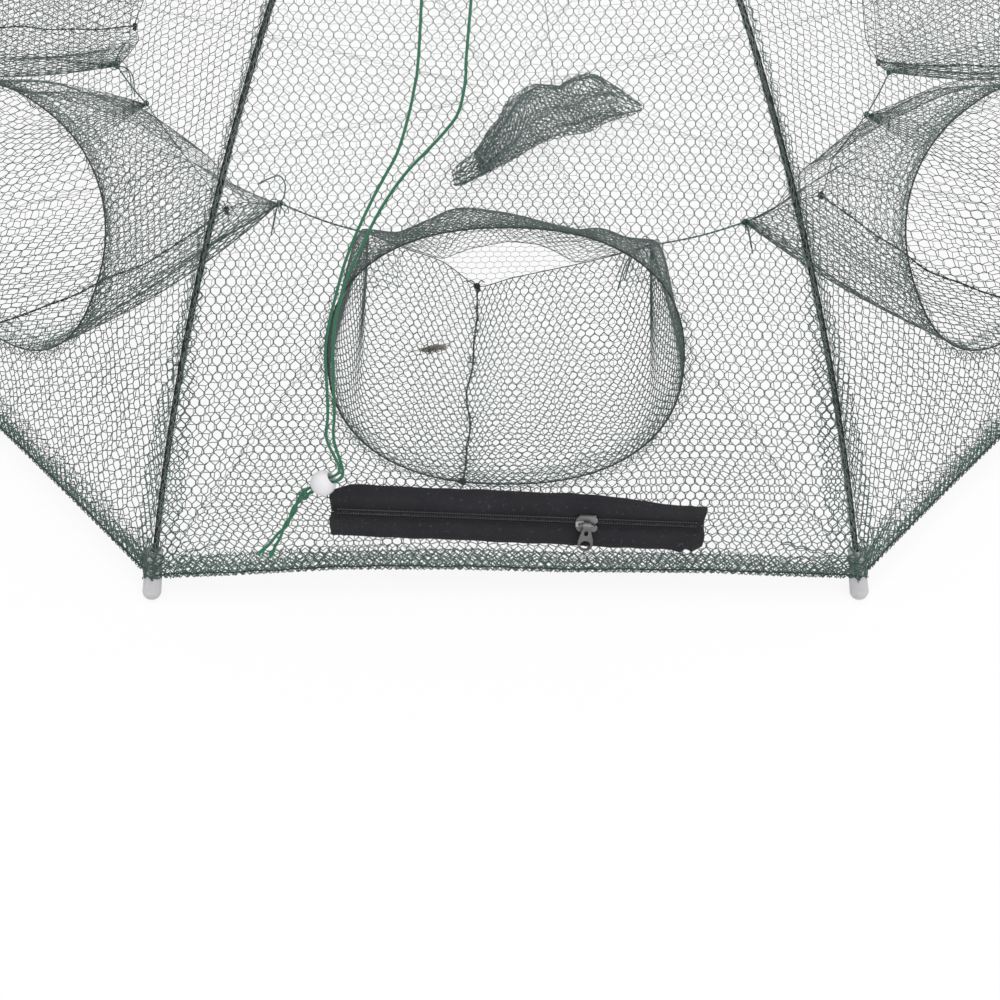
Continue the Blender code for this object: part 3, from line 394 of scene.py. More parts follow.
class Paint(Enum):
    """The trap's finishes."""

    GORE_NET = Twine("gore_net_twine", (0.072, 0.102, 0.095), (0.170, 0.215, 0.204))
    FUNNEL_NET = Twine("funnel_net_twine", (0.042, 0.076, 0.068), (0.105, 0.150, 0.138))
    COLLAR_NET = Twine("collar_net_twine", (0.048, 0.102, 0.086), (0.120, 0.198, 0.176))
    LINT = Twine("caught_lint", (0.16, 0.15, 0.125), (0.40, 0.38, 0.33))
    # The sleeve twine is a paler copy of the net twine: painted highlight on the strands over the black ribs; the
    # bag's cord uses it too
    SLEEVE_NET = Twine("sleeve_net_twine_painted_highlight", (0.090, 0.125, 0.118), (0.30, 0.35, 0.34), 0.45)
    HEM_NET = Twine("hem_net_twine", (0.028, 0.074, 0.059), (0.072, 0.138, 0.115))
    # The floor twine's pale shades are painted light: the floor's middle is made pale as if washed out by light
    FLOOR_NET = FloorTwine("floor_net_twine_painted_light", (0.24, 0.26, 0.255), (0.40, 0.42, 0.415))
    BAG_NET = Twine("bag_net_twine", (0.066, 0.104, 0.096), (0.155, 0.212, 0.198))
    SEAM = Twine("seam_twine", (0.006, 0.013, 0.011), (0.018, 0.032, 0.028))
    TIE = Twine("tie_twine", (0.020, 0.070, 0.048), (0.045, 0.125, 0.090), 0.55)
    FRAYED = Twine("frayed_cord_ends", (0.012, 0.16, 0.075), (0.03, 0.27, 0.13), 0.6)
    HOOP_WIRE = Moulding("coated_hoop_wire", (0.010, 0.011, 0.012), (0.030, 0.031, 0.032), 0.38)
    RIB = RibSteel("blackened_rib_steel")
    STRETCHER = Plated("zinc_stretcher", (0.44, 0.44, 0.45), (0.26, 0.26, 0.27))
    RING = Plated("pivot_ring_wire", (0.40, 0.40, 0.41), (0.22, 0.21, 0.20), 0.28)
    TIP = Moulding("milky_tip_plastic", (0.66, 0.655, 0.67), (0.76, 0.755, 0.765), 0.30, 0.35)
    CROWN = Moulding("crown_moulding", (0.016, 0.017, 0.018), (0.045, 0.046, 0.048))
    RUNNER = Moulding("runner_moulding", (0.020, 0.021, 0.022), (0.050, 0.051, 0.053), 0.5)
    CORD = Braid("green_braid", (0.014, 0.185, 0.088), (0.004, 0.060, 0.030))
    BEAD = Moulding("white_bead_plastic", (0.70, 0.69, 0.715), (0.79, 0.78, 0.80), 0.22)
    TAPE = Herringbone("zip_tape_weave")
    # Pale dots on the coil's top: painted glints on the teeth ends
    COIL_GLINT = Twine("zip_coil_painted_glint", (0.055, 0.054, 0.062), (0.150, 0.148, 0.165), 0.6)
    COIL = Moulding("zip_coil_nylon", (0.005, 0.005, 0.006), (0.014, 0.0138, 0.0165), 0.74)
    GUNMETAL = Plated("gunmetal", (0.19, 0.186, 0.186), (0.065, 0.062, 0.060), 0.28, 1400.0)

    def material(self) -> bpy.types.Material:
        """Return the finish's material."""
        return self.value.material()


def eased(t: Array) -> Array:
    """Return t from 0 to 1 with smooth ends."""
    t = np.clip(t, 0.0, 1.0)
    return t * t * (3 - 2 * t)


def spin_about_z(points: Array, turn: float) -> Array:
    """Return points turned about the trap's upright axis."""
    c, s = math.cos(turn), math.sin(turn)
    return points @ np.array([[c, s, 0.0], [-s, c, 0.0], [0.0, 0.0, 1.0]])


@dataclass(frozen=True)
class Drift:
    """Smooth, repeatable unevenness: a few plane waves of chosen length."""

    seed: int
    length: float
    waves: int = 7

    def at(self, u: Array, v: Array) -> Array:
        """Return the unevenness from about -1 to 1.

        Args:
            u: First coordinates, in metres.
            v: Second coordinates, in metres.

        Returns:
            One value for each place.
        """
        draw = np.random.default_rng(self.seed)
        total = np.zeros(np.shape(u))
        for _ in range(self.waves):
            turn = draw.uniform(0, 2 * math.pi)
            pitch = self.length * draw.uniform(0.6, 1.8)
            phase = draw.uniform(0, 2 * math.pi)
            total += np.sin(2 * math.pi * (u * math.cos(turn) + v * math.sin(turn)) / pitch + phase)
        return total / math.sqrt(self.waves)

    def along(self, u: Array) -> Array:
        """Return the unevenness along a line."""
        return self.at(u, 0 * u)


@dataclass
class TrapForm:
    """The trap's main curves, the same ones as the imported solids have."""

    sides: int = 8
    hem_side: float = 0.385
    hem_height: float = 0.012
    clearance: float = 0.0003
    net_gauge: float = 0.001
    rib_gauge: float = 0.004
    rib_straight: float = 0.110
    crown_slope: float = math.radians(22.0)
    tip_slope: float = math.radians(63.6)
    tip_height: float = 0.005
    pivot_radius: float = 0.030
    hub_radius: float = 0.038
    hoop_width: float = 0.184
    hoop_length: float = 0.137
    hoop_centre: float = 0.4995
    hoop_squareness: float = 2.3
    slit_half: float = 0.0786
    slit_distance: float = 0.2687
    slit_height: float = 0.085

    @cached_property
    def step(self) -> float:
        """Angle from one panel to the next."""
        return 2 * math.pi / self.sides

    @cached_property
    def half(self) -> float:
        """Half that angle."""
        return self.step / 2

    @cached_property
    def tip_radius(self) -> float:
        """Distance of a rib's end from the axis."""
        hem = self.hem_side / (2 * math.sin(self.half))
        return hem + (self.hem_height - self.tip_height) / math.tan(self.tip_slope)

    @cached_property
    def arc(self) -> float:
        """Radius of a rib's bow."""
        reach = self.tip_radius - self.pivot_radius - self.rib_straight * math.cos(self.crown_slope)
        return reach / (math.sin(self.tip_slope) - math.sin(self.crown_slope))

    @cached_property
    def rib_length(self) -> float:
        """Length of a rib's axis."""
        return self.rib_straight + self.arc * (self.tip_slope - self.crown_slope)

    @cached_property
    def pivot_height(self) -> float:
        """Height of the ribs' pivots."""
        drop = self.arc * (math.cos(self.crown_slope) - math.cos(self.tip_slope))
        return self.tip_height + drop + self.rib_straight * math.sin(self.crown_slope)

    @cached_property
    def net_offset(self) -> float:
        """Distance from a rib's axis to the middle of the net over it."""
        return (self.rib_gauge / 2 + self.clearance + self.net_gauge / 2) / math.cos(self.half)

    @cached_property
    def hem_s(self) -> float:
        """Distance from pivot to hem along a rib."""
        return self.rib_length - (self.hem_height - self.tip_height) / math.sin(self.tip_slope)

    @cached_property
    def top_s(self) -> float:
        """Distance from pivot to the net's top edge along a rib."""
        edge = (self.hub_radius + 2 * self.clearance) / math.cos(self.half) - self.pivot_radius
        return (edge - self.net_offset * math.sin(self.crown_slope)) / math.cos(self.crown_slope)

    def rib(self, s: Any) -> tuple[Array, Array, Array]:
        """Return radius, height and downward slope of a rib's axis.

        Args:
            s: Distances from the pivot along the rib.

        Returns:
            Three arrays.
        """
        s = np.asarray(s, float)
        straight = np.minimum(s, self.rib_straight)
        slope = self.crown_slope + np.maximum(s - self.rib_straight, 0.0) / self.arc
        radius = self.pivot_radius + straight * math.cos(self.crown_slope)
        radius = radius + self.arc * (np.sin(slope) - math.sin(self.crown_slope))
        height = self.pivot_height - straight * math.sin(self.crown_slope)
        height = height - self.arc * (math.cos(self.crown_slope) - np.cos(slope))
        return radius, height, slope

    def net_radius(self, s: Any) -> Array:
        """Return the net's radius where it passes over a rib."""
        radius, _, slope = self.rib(s)
        return radius + self.net_offset * np.sin(slope)

    def half_width(self, s: Any) -> Array:
        """Return half a panel's width."""
        mitre = self.clearance + self.net_gauge / 2 * math.tan(self.half)
        return self.net_radius(s) * math.sin(self.half) - mitre

    def on_panel(self, x: Any, s: Any, out: Any = 0.0) -> Array:
        """Return points on the front panel's net.

        Args:
            x: Distances to the right of the panel's middle.
            s: Distances down from the crown.
            out: How far the points stand off the net.

        Returns:
            An array of points, one in each row.
        """
        x, s, out = np.broadcast_arrays(np.asarray(x, float), np.asarray(s, float), np.asarray(out, float))
        _, height, slope = self.rib(s)
        level = self.net_radius(s) * math.cos(self.half)
        height = height + self.net_offset * np.cos(slope)
        lean = np.cos(slope) * math.cos(self.half)
        size = np.hypot(np.sin(slope), lean)
        return np.stack([x, -level - out * np.sin(slope) / size, height + out * lean / size], axis=-1)

    def hoop(self, turn: Any, grow: float = 0.0) -> tuple[Array, Array]:
        """Return the hoop's outline on the panel.

        Args:
            turn: Angles round it, from the right and then down.
            grow: How much larger than the hoop.

        Returns:
            Arrays of x and s.
        """
        across, along = np.cos(turn), np.sin(turn)
        power = 2 / self.hoop_squareness
        x = (self.hoop_width / 2 + grow) * np.sign(across) * np.abs(across) ** power
        s = self.hoop_centre + (self.hoop_length / 2 + grow) * np.sign(along) * np.abs(along) ** power
        return x, s

    def hoop_away(self, turn: Any) -> tuple[Array, Array, Array]:
        """Return x and s of the hoop's outline and the flat directions away from its middle."""
        x, s = self.hoop(turn)
        grown_x, grown_s = self.hoop(turn, 0.001)
        away = np.stack([grown_x - x, grown_s - s], axis=-1)
        return x, s, away / np.linalg.norm(away, axis=-1)[..., None]

    def hoop_reach(self, x: Array, s: Array) -> Array:
        """Return 1 on the hoop, less inside it and more outside."""
        across = np.abs(x / (self.hoop_width / 2)) ** self.hoop_squareness
        along = np.abs((s - self.hoop_centre) / (self.hoop_length / 2)) ** self.hoop_squareness
        return (across + along) ** (1 / self.hoop_squareness)

    def rib_turn(self, k: int) -> float:
        """Return the azimuth of rib k, counted from 0."""
        return -math.pi / 2 - self.half + k * self.step

    def tangent(self, k: int) -> tuple[float, float, float]:
        """Return the direction across panel k, counted from 0."""
        return (math.cos(k * self.step), math.sin(k * self.step), 0.0)


FORM = TrapForm()


def new_object(name: str, mesh: bpy.types.Mesh, material: bpy.types.Material | None = None) -> bpy.types.Object:
    """Put a mesh in the scene as a named piece."""
    mesh.name = name
    if material:
        mesh.materials.clear()
        mesh.materials.append(material)
    made = bpy.data.objects.new(name, mesh)
    bpy.context.scene.collection.objects.link(made)
    return made


def smoothed(name: str, work: bmesh.types.BMesh, sharp: float, finish: bpy.types.Material) -> bpy.types.Object:
    """Return a shape as a smooth piece with sharp edges, and free the shape.

    Args:
        name: Name of the piece.
        work: The shape.
        sharp: Angle in degrees above which an edge stays sharp.
        finish: Its material.

    Returns:
        The piece.
    """
    mesh = bpy.data.meshes.new(name)
    work.to_mesh(mesh)
    work.free()
    mesh.shade_smooth()
    mesh.set_sharp_from_angle(angle=math.radians(sharp))
    return new_object(name, mesh, finish)


def without(piece: bpy.types.Object, spare: str) -> bpy.types.Object:
    """Return the piece without an attribute that its node tree used."""
    kept = piece.data.attributes.get(spare)
    if kept:
        piece.data.attributes.remove(kept)
    return piece


def plain(piece: bpy.types.Object) -> bpy.types.Object:
    """Turn a piece with modifiers into a plain mesh of the same name."""
    bpy.context.view_layer.update()
    graph = bpy.context.evaluated_depsgraph_get()
    mesh = bpy.data.meshes.new_from_object(piece.evaluated_get(graph), depsgraph=graph)
    name, old = piece.name, piece.data
    bpy.data.objects.remove(piece)
    if old.users == 0:
        bpy.data.meshes.remove(old)
    return new_object(name, mesh)


def fused(name: str, pieces: Sequence[bpy.types.Object]) -> bpy.types.Object:
    """Join several plain pieces into one, with their materials kept."""
    with bpy.context.temp_override(active_object=pieces[0], selected_editable_objects=list(pieces)):
        bpy.ops.object.join()
    pieces[0].name = name
    pieces[0].data.name = name
    return pieces[0]


class Tree:
    """A geometry node tree that is built in the script."""

    def __init__(self, name: str, inputs: dict[str, str]) -> None:
        """Start a tree.

        Args:
            name: The tree's name.
            inputs: Socket types by input name, geometry first.
        """
        self.group = bpy.data.node_groups.new(name, "GeometryNodeTree")
        self.keys = {key: self.group.interface.new_socket(key, in_out="INPUT", socket_type=kind).identifier
                     for key, kind in inputs.items()}
        self.group.interface.new_socket("Geometry", in_out="OUTPUT", socket_type="NodeSocketGeometry")
        self.start = self.group.nodes.new("NodeGroupInput")

    def add(self, kind: str, settings: dict[str, Any] | None = None,
            inputs: dict[Any, Any] | None = None) -> bpy.types.Node:
        """Add a node with its settings, then its values and links.

        Args:
            kind: The node's type.
            settings: Its properties.
            inputs: Values, or outputs to link, by socket name or number.

        Returns:
            The node.
        """
        made = self.group.nodes.new(kind)
        for key, value in (settings or {}).items():
            setattr(made, key, value)
        for key, value in (inputs or {}).items():
            if isinstance(value, bpy.types.NodeSocket):
                self.group.links.new(value, made.inputs[key])
            else:
                made.inputs[key].default_value = value
        return made

    def end(self, geometry: bpy.types.NodeSocket) -> None:
        """Realize the instances, set the material and close the tree."""
        real = self.add("GeometryNodeRealizeInstances", {}, {0: geometry})
        finish = self.start.outputs["Finish"]
        dressed = self.add("GeometryNodeSetMaterial", {}, {0: real.outputs[0], "Material": finish})
        smooth = self.add("GeometryNodeSetShadeSmooth", {}, {0: dressed.outputs[0]})
        close = self.group.nodes.new("NodeGroupOutput")
        self.group.links.new(smooth.outputs[0], close.inputs[0])

    def run(self, piece: bpy.types.Object, **values: Any) -> bpy.types.Object:
        """Run the tree on a piece and return the plain result.

        Args:
            piece: The object whose mesh goes in.
            values: The tree's inputs, with underscores for spaces.

        Returns:
            The plain mesh piece, of the same name.
        """
        step = piece.modifiers.new(self.group.name, "NODES")
        step.node_group = self.group
        for key, value in values.items():
            step[self.keys[key.replace("_", " ")]] = value
        return plain(piece)


class StrandTree(Tree):
    """Turns wires with a gauge at each point into round strands."""

    def __init__(self) -> None:
        """Build the tree."""
        super().__init__("strands", {"Geometry": "NodeSocketGeometry", "Sides": "NodeSocketInt",
                                     "Finish": "NodeSocketMaterial"})
        gauge = self.add("GeometryNodeInputNamedAttribute", {"data_type": "FLOAT"}, {"Name": "gauge"})
        line = self.add("GeometryNodeMeshToCurve", {}, {0: self.start.outputs["Geometry"]})
        ring = self.add("GeometryNodeCurvePrimitiveCircle", {},
                        {"Resolution": self.start.outputs["Sides"], "Radius": 1.0})
        skin = self.add("GeometryNodeCurveToMesh", {}, {
            "Curve": line.outputs[0], "Profile Curve": ring.outputs[0], "Scale": gauge.outputs["Attribute"],
            "Fill Caps": True})
        self.end(skin.outputs[0])


class BeadTree(Tree):
    """Sets small rounded bodies along a line of points: zip teeth and stitches."""

    def __init__(self) -> None:
        """Build the tree."""
        super().__init__("small_bodies", {
            "Geometry": "NodeSocketGeometry", "Size": "NodeSocketVector", "Segments": "NodeSocketInt",
            "Finish": "NodeSocketMaterial"})
        turn = self.add("GeometryNodeInputNamedAttribute", {"data_type": "FLOAT_VECTOR"}, {"Name": "turn"})
        body = self.add("GeometryNodeMeshUVSphere", {}, {
            "Segments": self.start.outputs["Segments"], "Rings": 5, "Radius": 1.0})
        shaped = self.add("GeometryNodeTransform", {}, {
            "Geometry": body.outputs["Mesh"], "Scale": self.start.outputs["Size"]})
        angle = self.add("FunctionNodeEulerToRotation", {}, {0: turn.outputs["Attribute"]})
        rows = self.add("GeometryNodeInstanceOnPoints", {}, {
            "Points": self.start.outputs["Geometry"], "Instance": shaped.outputs[0],
            "Rotation": angle.outputs[0]})
        self.end(rows.outputs[0])


class Threads:
    """Threads collected for one piece, each a line of points with its half thickness."""

    def __init__(self) -> None:
        """Start with none."""
        self.lines: list[Array] = []
        self.gauges: list[Array] = []

    def lay(self, line: Any, gauge: Any) -> None:
        """Add one thread.

        Args:
            line: Its points.
            gauge: Its half thickness, one for all or one for each point.
        """
        line = np.asarray(line, float)
        if len(line) > 1:
            self.lines.append(line)
            self.gauges.append(np.broadcast_to(np.asarray(gauge, float), (len(line),)))

    def lay_many(self, lines: Array, gauge: Any) -> None:
        """Add many threads of as many points each.

        Args:
            lines: Their points, by thread and place.
            gauge: Their half thickness, one for all or one for each point.
        """
        self.lines += list(lines)
        self.gauges += list(np.broadcast_to(np.asarray(gauge, float), lines.shape[:2]))

    def turned(self, turn: float) -> "Threads":
        """Return the same threads turned about the trap's axis."""
        made = Threads()
        if self.lines:
            counts = np.cumsum([len(line) for line in self.lines])[:-1]
            made.lines = np.split(spin_about_z(np.concatenate(self.lines), turn), counts)
        made.gauges = self.gauges
        return made

    def spun(self, name: str, paint: Paint, sides: int = 3) -> bpy.types.Object:
        """Return the threads as one plain piece of round strands.

        Args:
            name: The piece's name.
            paint: Its finish.
            sides: How many sides each strand has.

        Returns:
            The piece.
        """
        points = np.concatenate(self.lines)
        counts = np.array([len(line) for line in self.lines])
        first = np.arange(len(points) - 1)
        first = first[~np.isin(first + 1, np.cumsum(counts))]
        mesh = bpy.data.meshes.new(name)
        mesh.vertices.add(len(points))
        mesh.vertices.foreach_set("co", points.ravel())
        mesh.edges.add(len(first))
        mesh.edges.foreach_set("vertices", np.stack([first, first + 1], axis=1).ravel())
        gauge = mesh.attributes.new("gauge", "FLOAT", "POINT")
        gauge.data.foreach_set("value", np.concatenate(self.gauges).astype(np.float32))
        return without(STRANDS.run(new_object(name, mesh), Sides=sides, Finish=paint.material()), "gauge")


STRANDS = StrandTree()
BODIES = BeadTree()


def curved(points: Any, steps: int) -> Array:
    """Return points along a smooth curve through the given ones, so many steps to a span."""
    p = np.asarray(points, float)
    p = np.concatenate([[2 * p[0] - p[1]], p, [2 * p[-1] - p[-2]]])
    path = []
    for a, b, c, d in zip(p, p[1:], p[2:], p[3:]):
        for t in np.arange(steps) / steps:
            path.append(0.5 * (2 * b + (c - a) * t + (2 * a - 5 * b + 4 * c - d) * t * t
                               + (3 * b - a - 3 * c + d) * t ** 3))
    return np.array([*path, p[-2]])


def lathe(name: str, profile: Sequence[tuple[float, float]], steps: int, matrix: Matrix,
          paint: Paint, closed: bool = False) -> bpy.types.Object:
    """Return a turned piece.

    Args:
        name: The piece's name.
        profile: Points of (radius, height); on an open one the ends are on the axis.
        steps: How many steps it turns in.
        matrix: Where the turned shape goes.
        paint: Its finish.
        closed: Whether the profile is a loop.

    Returns:
        The piece.
    """
    work = bmesh.new()
    rings = []
    for radius, height in profile:
        if radius < 1e-7:
            rings.append([work.verts.new((0, 0, height))] * steps)
            continue
        turns = [2 * math.pi * i / steps for i in range(steps)]
        rings.append([work.verts.new((radius * math.cos(t), radius * math.sin(t), height)) for t in turns])
    pairs = list(zip(rings, rings[1:])) + ([(rings[-1], rings[0])] if closed else [])
    for low, high in pairs:
        for i in range(steps):
            corners = [low[i], low[(i + 1) % steps], high[(i + 1) % steps], high[i]]
            corners = [v for j, v in enumerate(corners) if v not in corners[:j]]
            if len(corners) > 2:
                work.faces.new(corners)
    bmesh.ops.recalc_face_normals(work, faces=work.faces)
    work.transform(matrix)
    return smoothed(name, work, 50, paint.material())


def ordered(work: bmesh.types.BMesh) -> bmesh.types.BMesh:
    """Return a shape with its points and faces in an order that is the same each run.

    Args:
        work: The shape, as bevelling leaves it; it is freed.

    Returns:
        The same shape, listed anew.
    """
    points = sorted(work.verts, key=lambda v: tuple(round(c, 7) for c in v.co))
    for number, point in enumerate(points):
        point.index = number
    rings = []
    for face in work.faces:
        ring = [corner.index for corner in face.verts]
        first = ring.index(min(ring))
        rings.append(ring[first:] + ring[:first])
    made = bmesh.new()
    corners = [made.verts.new(point.co) for point in points]
    for ring in sorted(rings):
        made.faces.new([corners[i] for i in ring])
    work.free()
    return made


def slab(name: str, outline: Sequence[tuple[float, float]], thickness: float, matrix: Matrix, paint: Paint,
         bevel: float = 0.0002, segments: int = 2) -> bpy.types.Object:
    """Return a flat plate with eased edges.

    Args:
        name: The piece's name.
        outline: Its corners in XY, in order.
        thickness: How thick it is, half to each side.
        matrix: Where it goes.
        paint: Its finish.
        bevel: The width of its eased edges.
        segments: Steps in each eased edge.

    Returns:
        The piece.
    """
    work = bmesh.new()
    face = work.faces.new([work.verts.new((x, y, -thickness / 2)) for x, y in outline])
    grown = bmesh.ops.extrude_face_region(work, geom=[face])
    lifted = [v for v in grown["geom"] if isinstance(v, bmesh.types.BMVert)]
    bmesh.ops.translate(work, verts=lifted, vec=(0, 0, thickness))
    bmesh.ops.recalc_face_normals(work, faces=work.faces)
    rims = [e for e in work.edges if e.calc_face_angle(0.0) > math.radians(40)]
    bmesh.ops.bevel(work, geom=rims, offset=bevel, segments=segments, profile=0.6, affect="EDGES")
    work = ordered(work)
    work.transform(matrix)
    return smoothed(name, work, 45, paint.material())


def rope(name: str, points: Array, radius: float, sides: int, paint: Paint) -> bpy.types.Object:
    """Return a round cord as a mesh tube with closed ends.

    Args:
        name: The piece's name.
        points: Its centreline.
        radius: Its half thickness.
        sides: How many sides it has.
        paint: Its finish.

    Returns:
        The piece; its UV map has turns round it and metres along it.
    """
    points = np.asarray(points, float)
    ways = np.gradient(points, axis=0)
    ways /= np.linalg.norm(ways, axis=1)[:, None]
    side = np.cross(ways[0], (0.31, 0.17, 0.94))
    lengths = np.concatenate([[0.0], np.cumsum(np.linalg.norm(np.diff(points, axis=0), axis=1))])
    turns = 2 * math.pi * np.arange(sides) / sides
    vertices = []
    for point, way in zip(points, ways):
        side = side - way * np.dot(side, way)
        side /= np.linalg.norm(side)
        other = np.cross(way, side)
        vertices += [point + radius * (math.cos(t) * side + math.sin(t) * other) for t in turns]
    rows = len(points)
    faces = [(j * sides + i, j * sides + (i + 1) % sides, (j + 1) * sides + (i + 1) % sides, (j + 1) * sides + i)
             for j in range(rows - 1) for i in range(sides)]
    corners = [(j + dj, (i + di) / sides) for j in range(rows - 1) for i in range(sides)
               for dj, di in ((0, 0), (0, 1), (1, 1), (1, 0))]
    mesh = bpy.data.meshes.new(name)
    caps = [tuple(reversed(range(sides))), tuple(range((rows - 1) * sides, rows * sides))]
    mesh.from_pydata([tuple(v) for v in vertices], [], faces + caps)
    uv = mesh.uv_layers.new(name="UVMap")
    for loop, (j, u) in zip(uv.data, corners):
        loop.uv = (u, lengths[j])
    mesh.shade_smooth()
    mesh.set_sharp_from_angle(angle=math.radians(60))
    return new_object(name, mesh, paint.material())


def trimmed(line: Array, inside: Callable[[Array, Array], Array]) -> list[Array]:
    """Return the runs of a flat line that lie inside, cut where it crosses the border.

    Args:
        line: Points in the flat pattern.
        inside: Says for arrays of the two coordinates which are inside.

    Returns:
        One array for each run.
    """
    mask = inside(line[:, 0], line[:, 1])
    flips = mask[1:] != mask[:-1]
    first, second = line[:-1][flips], line[1:][flips]
    entering = mask[1:][flips][:, None]
    near = np.where(entering, second, first)
    far = np.where(entering, first, second)
    for _ in range(9):
        middle = (near + far) / 2
        good = inside(middle[:, 0], middle[:, 1])[:, None]
        near, far = np.where(good, middle, near), np.where(good, far, middle)
    runs, run, crossing = [], [], 0
    for i, point in enumerate(line):
        if i and flips[i - 1]:
            if mask[i]:
                run = [near[crossing]]
            else:
                runs.append(np.array([*run, near[crossing]]))
                run = []
            crossing += 1
        if mask[i]:
            run.append(point)
    if len(run) > 1:
        runs.append(np.array(run))
    return [r for r in runs if len(r) > 1]


def crossings(columns: range, rows: range) -> tuple[Array, Array]:
    """Return the column and the row number of every place in a net."""
    column, row = np.meshgrid(np.array(columns), np.array(rows), indexing="ij")
    return column.ravel(), row.ravel()


@dataclass(frozen=True)
class RoundNet:
    """Hexagonal netting round a closed shape, counted in cells round it and along it."""

    round_it: int
    along: int
    knot: float = 0.22

    def threads(self, shift: float = 0.0) -> list[tuple[Array, Array]]:
        """Return its threads, each as shares of the way round and of the way along.

        Args:
            shift: How many cells further round they lie.

        Returns:
            One pair of arrays for each thread.
        """
        steps = np.repeat(np.arange(self.along + 1), 2)
        share = np.clip(steps + np.tile([-self.knot, self.knot], self.along + 1), 0, self.along) / self.along
        return [((number + (steps % 2) * 0.5 + shift) / self.round_it, share) for number in range(self.round_it)]

    def links(self, shift: float = 0.0) -> tuple[Array, Array]:
        """Return its links as pairs of shares round and pairs of shares along."""
        number, step = crossings(range(self.round_it), range(self.along))
        odd = step % 2
        turns = np.stack([number + np.where(odd, 0.5, 1.0), number + np.where(odd, 1.0, 0.5)], axis=1) + shift
        return turns / self.round_it, np.stack([step + self.knot, step + (1 - self.knot)], axis=1) / self.along


@dataclass(frozen=True)
class HexNet:
    """Hexagonal netting: zigzag threads joined by slanting links."""

    pitch: float = 0.0053
    row: float = 0.0045
    upright: float = 0.0019
    twist: float = 1.45

    def scaled(self, across: float, along: float, upright: float = 1.0, twist: float = 0.0) -> "HexNet":
        """Return such a net with its measures multiplied, and with a twist of its own."""
        return HexNet(self.pitch * across, self.row * along, self.upright * upright, twist)

    def zigzag(self, column: int, rows: range) -> Array:
        """Return one thread of the flat net.

        Args:
            column: Which column it is in.
            rows: The rows it runs through.

        Returns:
            Its points, across and along.
        """
        steps = np.repeat(np.array(rows), 2)
        ends = np.tile([-0.5, 0.5], len(rows)) * self.upright
        return np.stack([(column + (steps % 2) * 0.5) * self.pitch, steps * self.row + ends], axis=1)

    def links(self, columns: range, rows: range) -> Array:
        """Return the links between neighbouring threads.

        Args:
            columns: The threads' columns.
            rows: The rows they run through.

        Returns:
            Pairs of points, across and along.
        """
        column, row = crossings(columns, rows)
        odd = row % 2
        start = np.stack([(column + np.where(odd, 0.5, 1.0)) * self.pitch,
                          row * self.row + self.upright / 2], axis=1)
        stop = np.stack([(column + np.where(odd, 1.0, 0.5)) * self.pitch,
                         (row + 1) * self.row - self.upright / 2], axis=1)
        return np.stack([start, stop], axis=1)

    def uprights(self, columns: range, rows: range) -> Array:
        """Return the twisted stretches where two threads run together, as pairs of points."""
        column, row = crossings(columns, rows)
        across = (column + (row % 2) * 0.5) * self.pitch
        return np.stack([np.stack([across, row * self.row + end * self.upright], axis=1) for end in (-0.6, 0.6)],
                        axis=1)

    def lay(self, threads: "Threads", reach: float, span: tuple[float, float],
            inside: Callable[[Array, Array], Array], place: Callable[[Array], Array],
            gauge: Callable[[Array], Array]) -> None:
        """Lay a piece of netting.

        Args:
            threads: Where its threads go.
            reach: How far it goes to each side.
            span: Where it begins and ends along.
            inside: Says which places belong to it.
            place: Turns flat points into points in space.
            gauge: Gives its twine's half thickness for distances along.
        """
        columns = range(-int(reach / self.pitch) - 1, int(reach / self.pitch) + 1)
        rows = range(int(span[0] / self.row), int(span[1] / self.row) + 2)
        for column in columns:
            for run in trimmed(self.zigzag(column, rows), inside):
                threads.lay(place(run), gauge(run[:, 1]))
        for pairs, stout in ((self.links(columns, rows), 1.0), (self.uprights(columns, rows), self.twist)):
            good = pairs[inside(pairs[..., 0], pairs[..., 1]).all(axis=1)]
            if stout:
                threads.lay_many(place(good.reshape(-1, 2)).reshape(-1, 2, 3), gauge(good[..., 1]) * stout)


def beating(count: int) -> Array:
    """Return 1 and -1 by turns."""
    return np.where(np.arange(count) % 2 == 0, 1.0, -1.0)


# How far the front hem is drawn up: places across the panel with the lifts there, in metres
FRONT_HEM = ((-0.185, 0.0), (-0.150, 0.0015), (-0.120, 0.0034), (-0.089, 0.0052), (-0.029, 0.0052),
             (0.031, 0.0036), (0.113, 0.0030), (0.1485, 0.0011), (0.185, 0.0))


def hem_lift(index: int, x: Array) -> Array:
    """Return how far a panel's hem is drawn up between its two feet.

    Args:
        index: Which panel it is.
        x: Places across the panel.

    Returns:
        The lifts along the panel, in metres.
    """
    if index == 0:
        places, lifts = zip(*FRONT_HEM)
        return np.interp(x, places, lifts)
    share = np.clip(np.abs(x) / (FORM.hem_side / 2 - 0.012), 0.0, 1.0)
    return (0.0035 + 0.0006 * (index % 3)) * (1 - share ** 2)


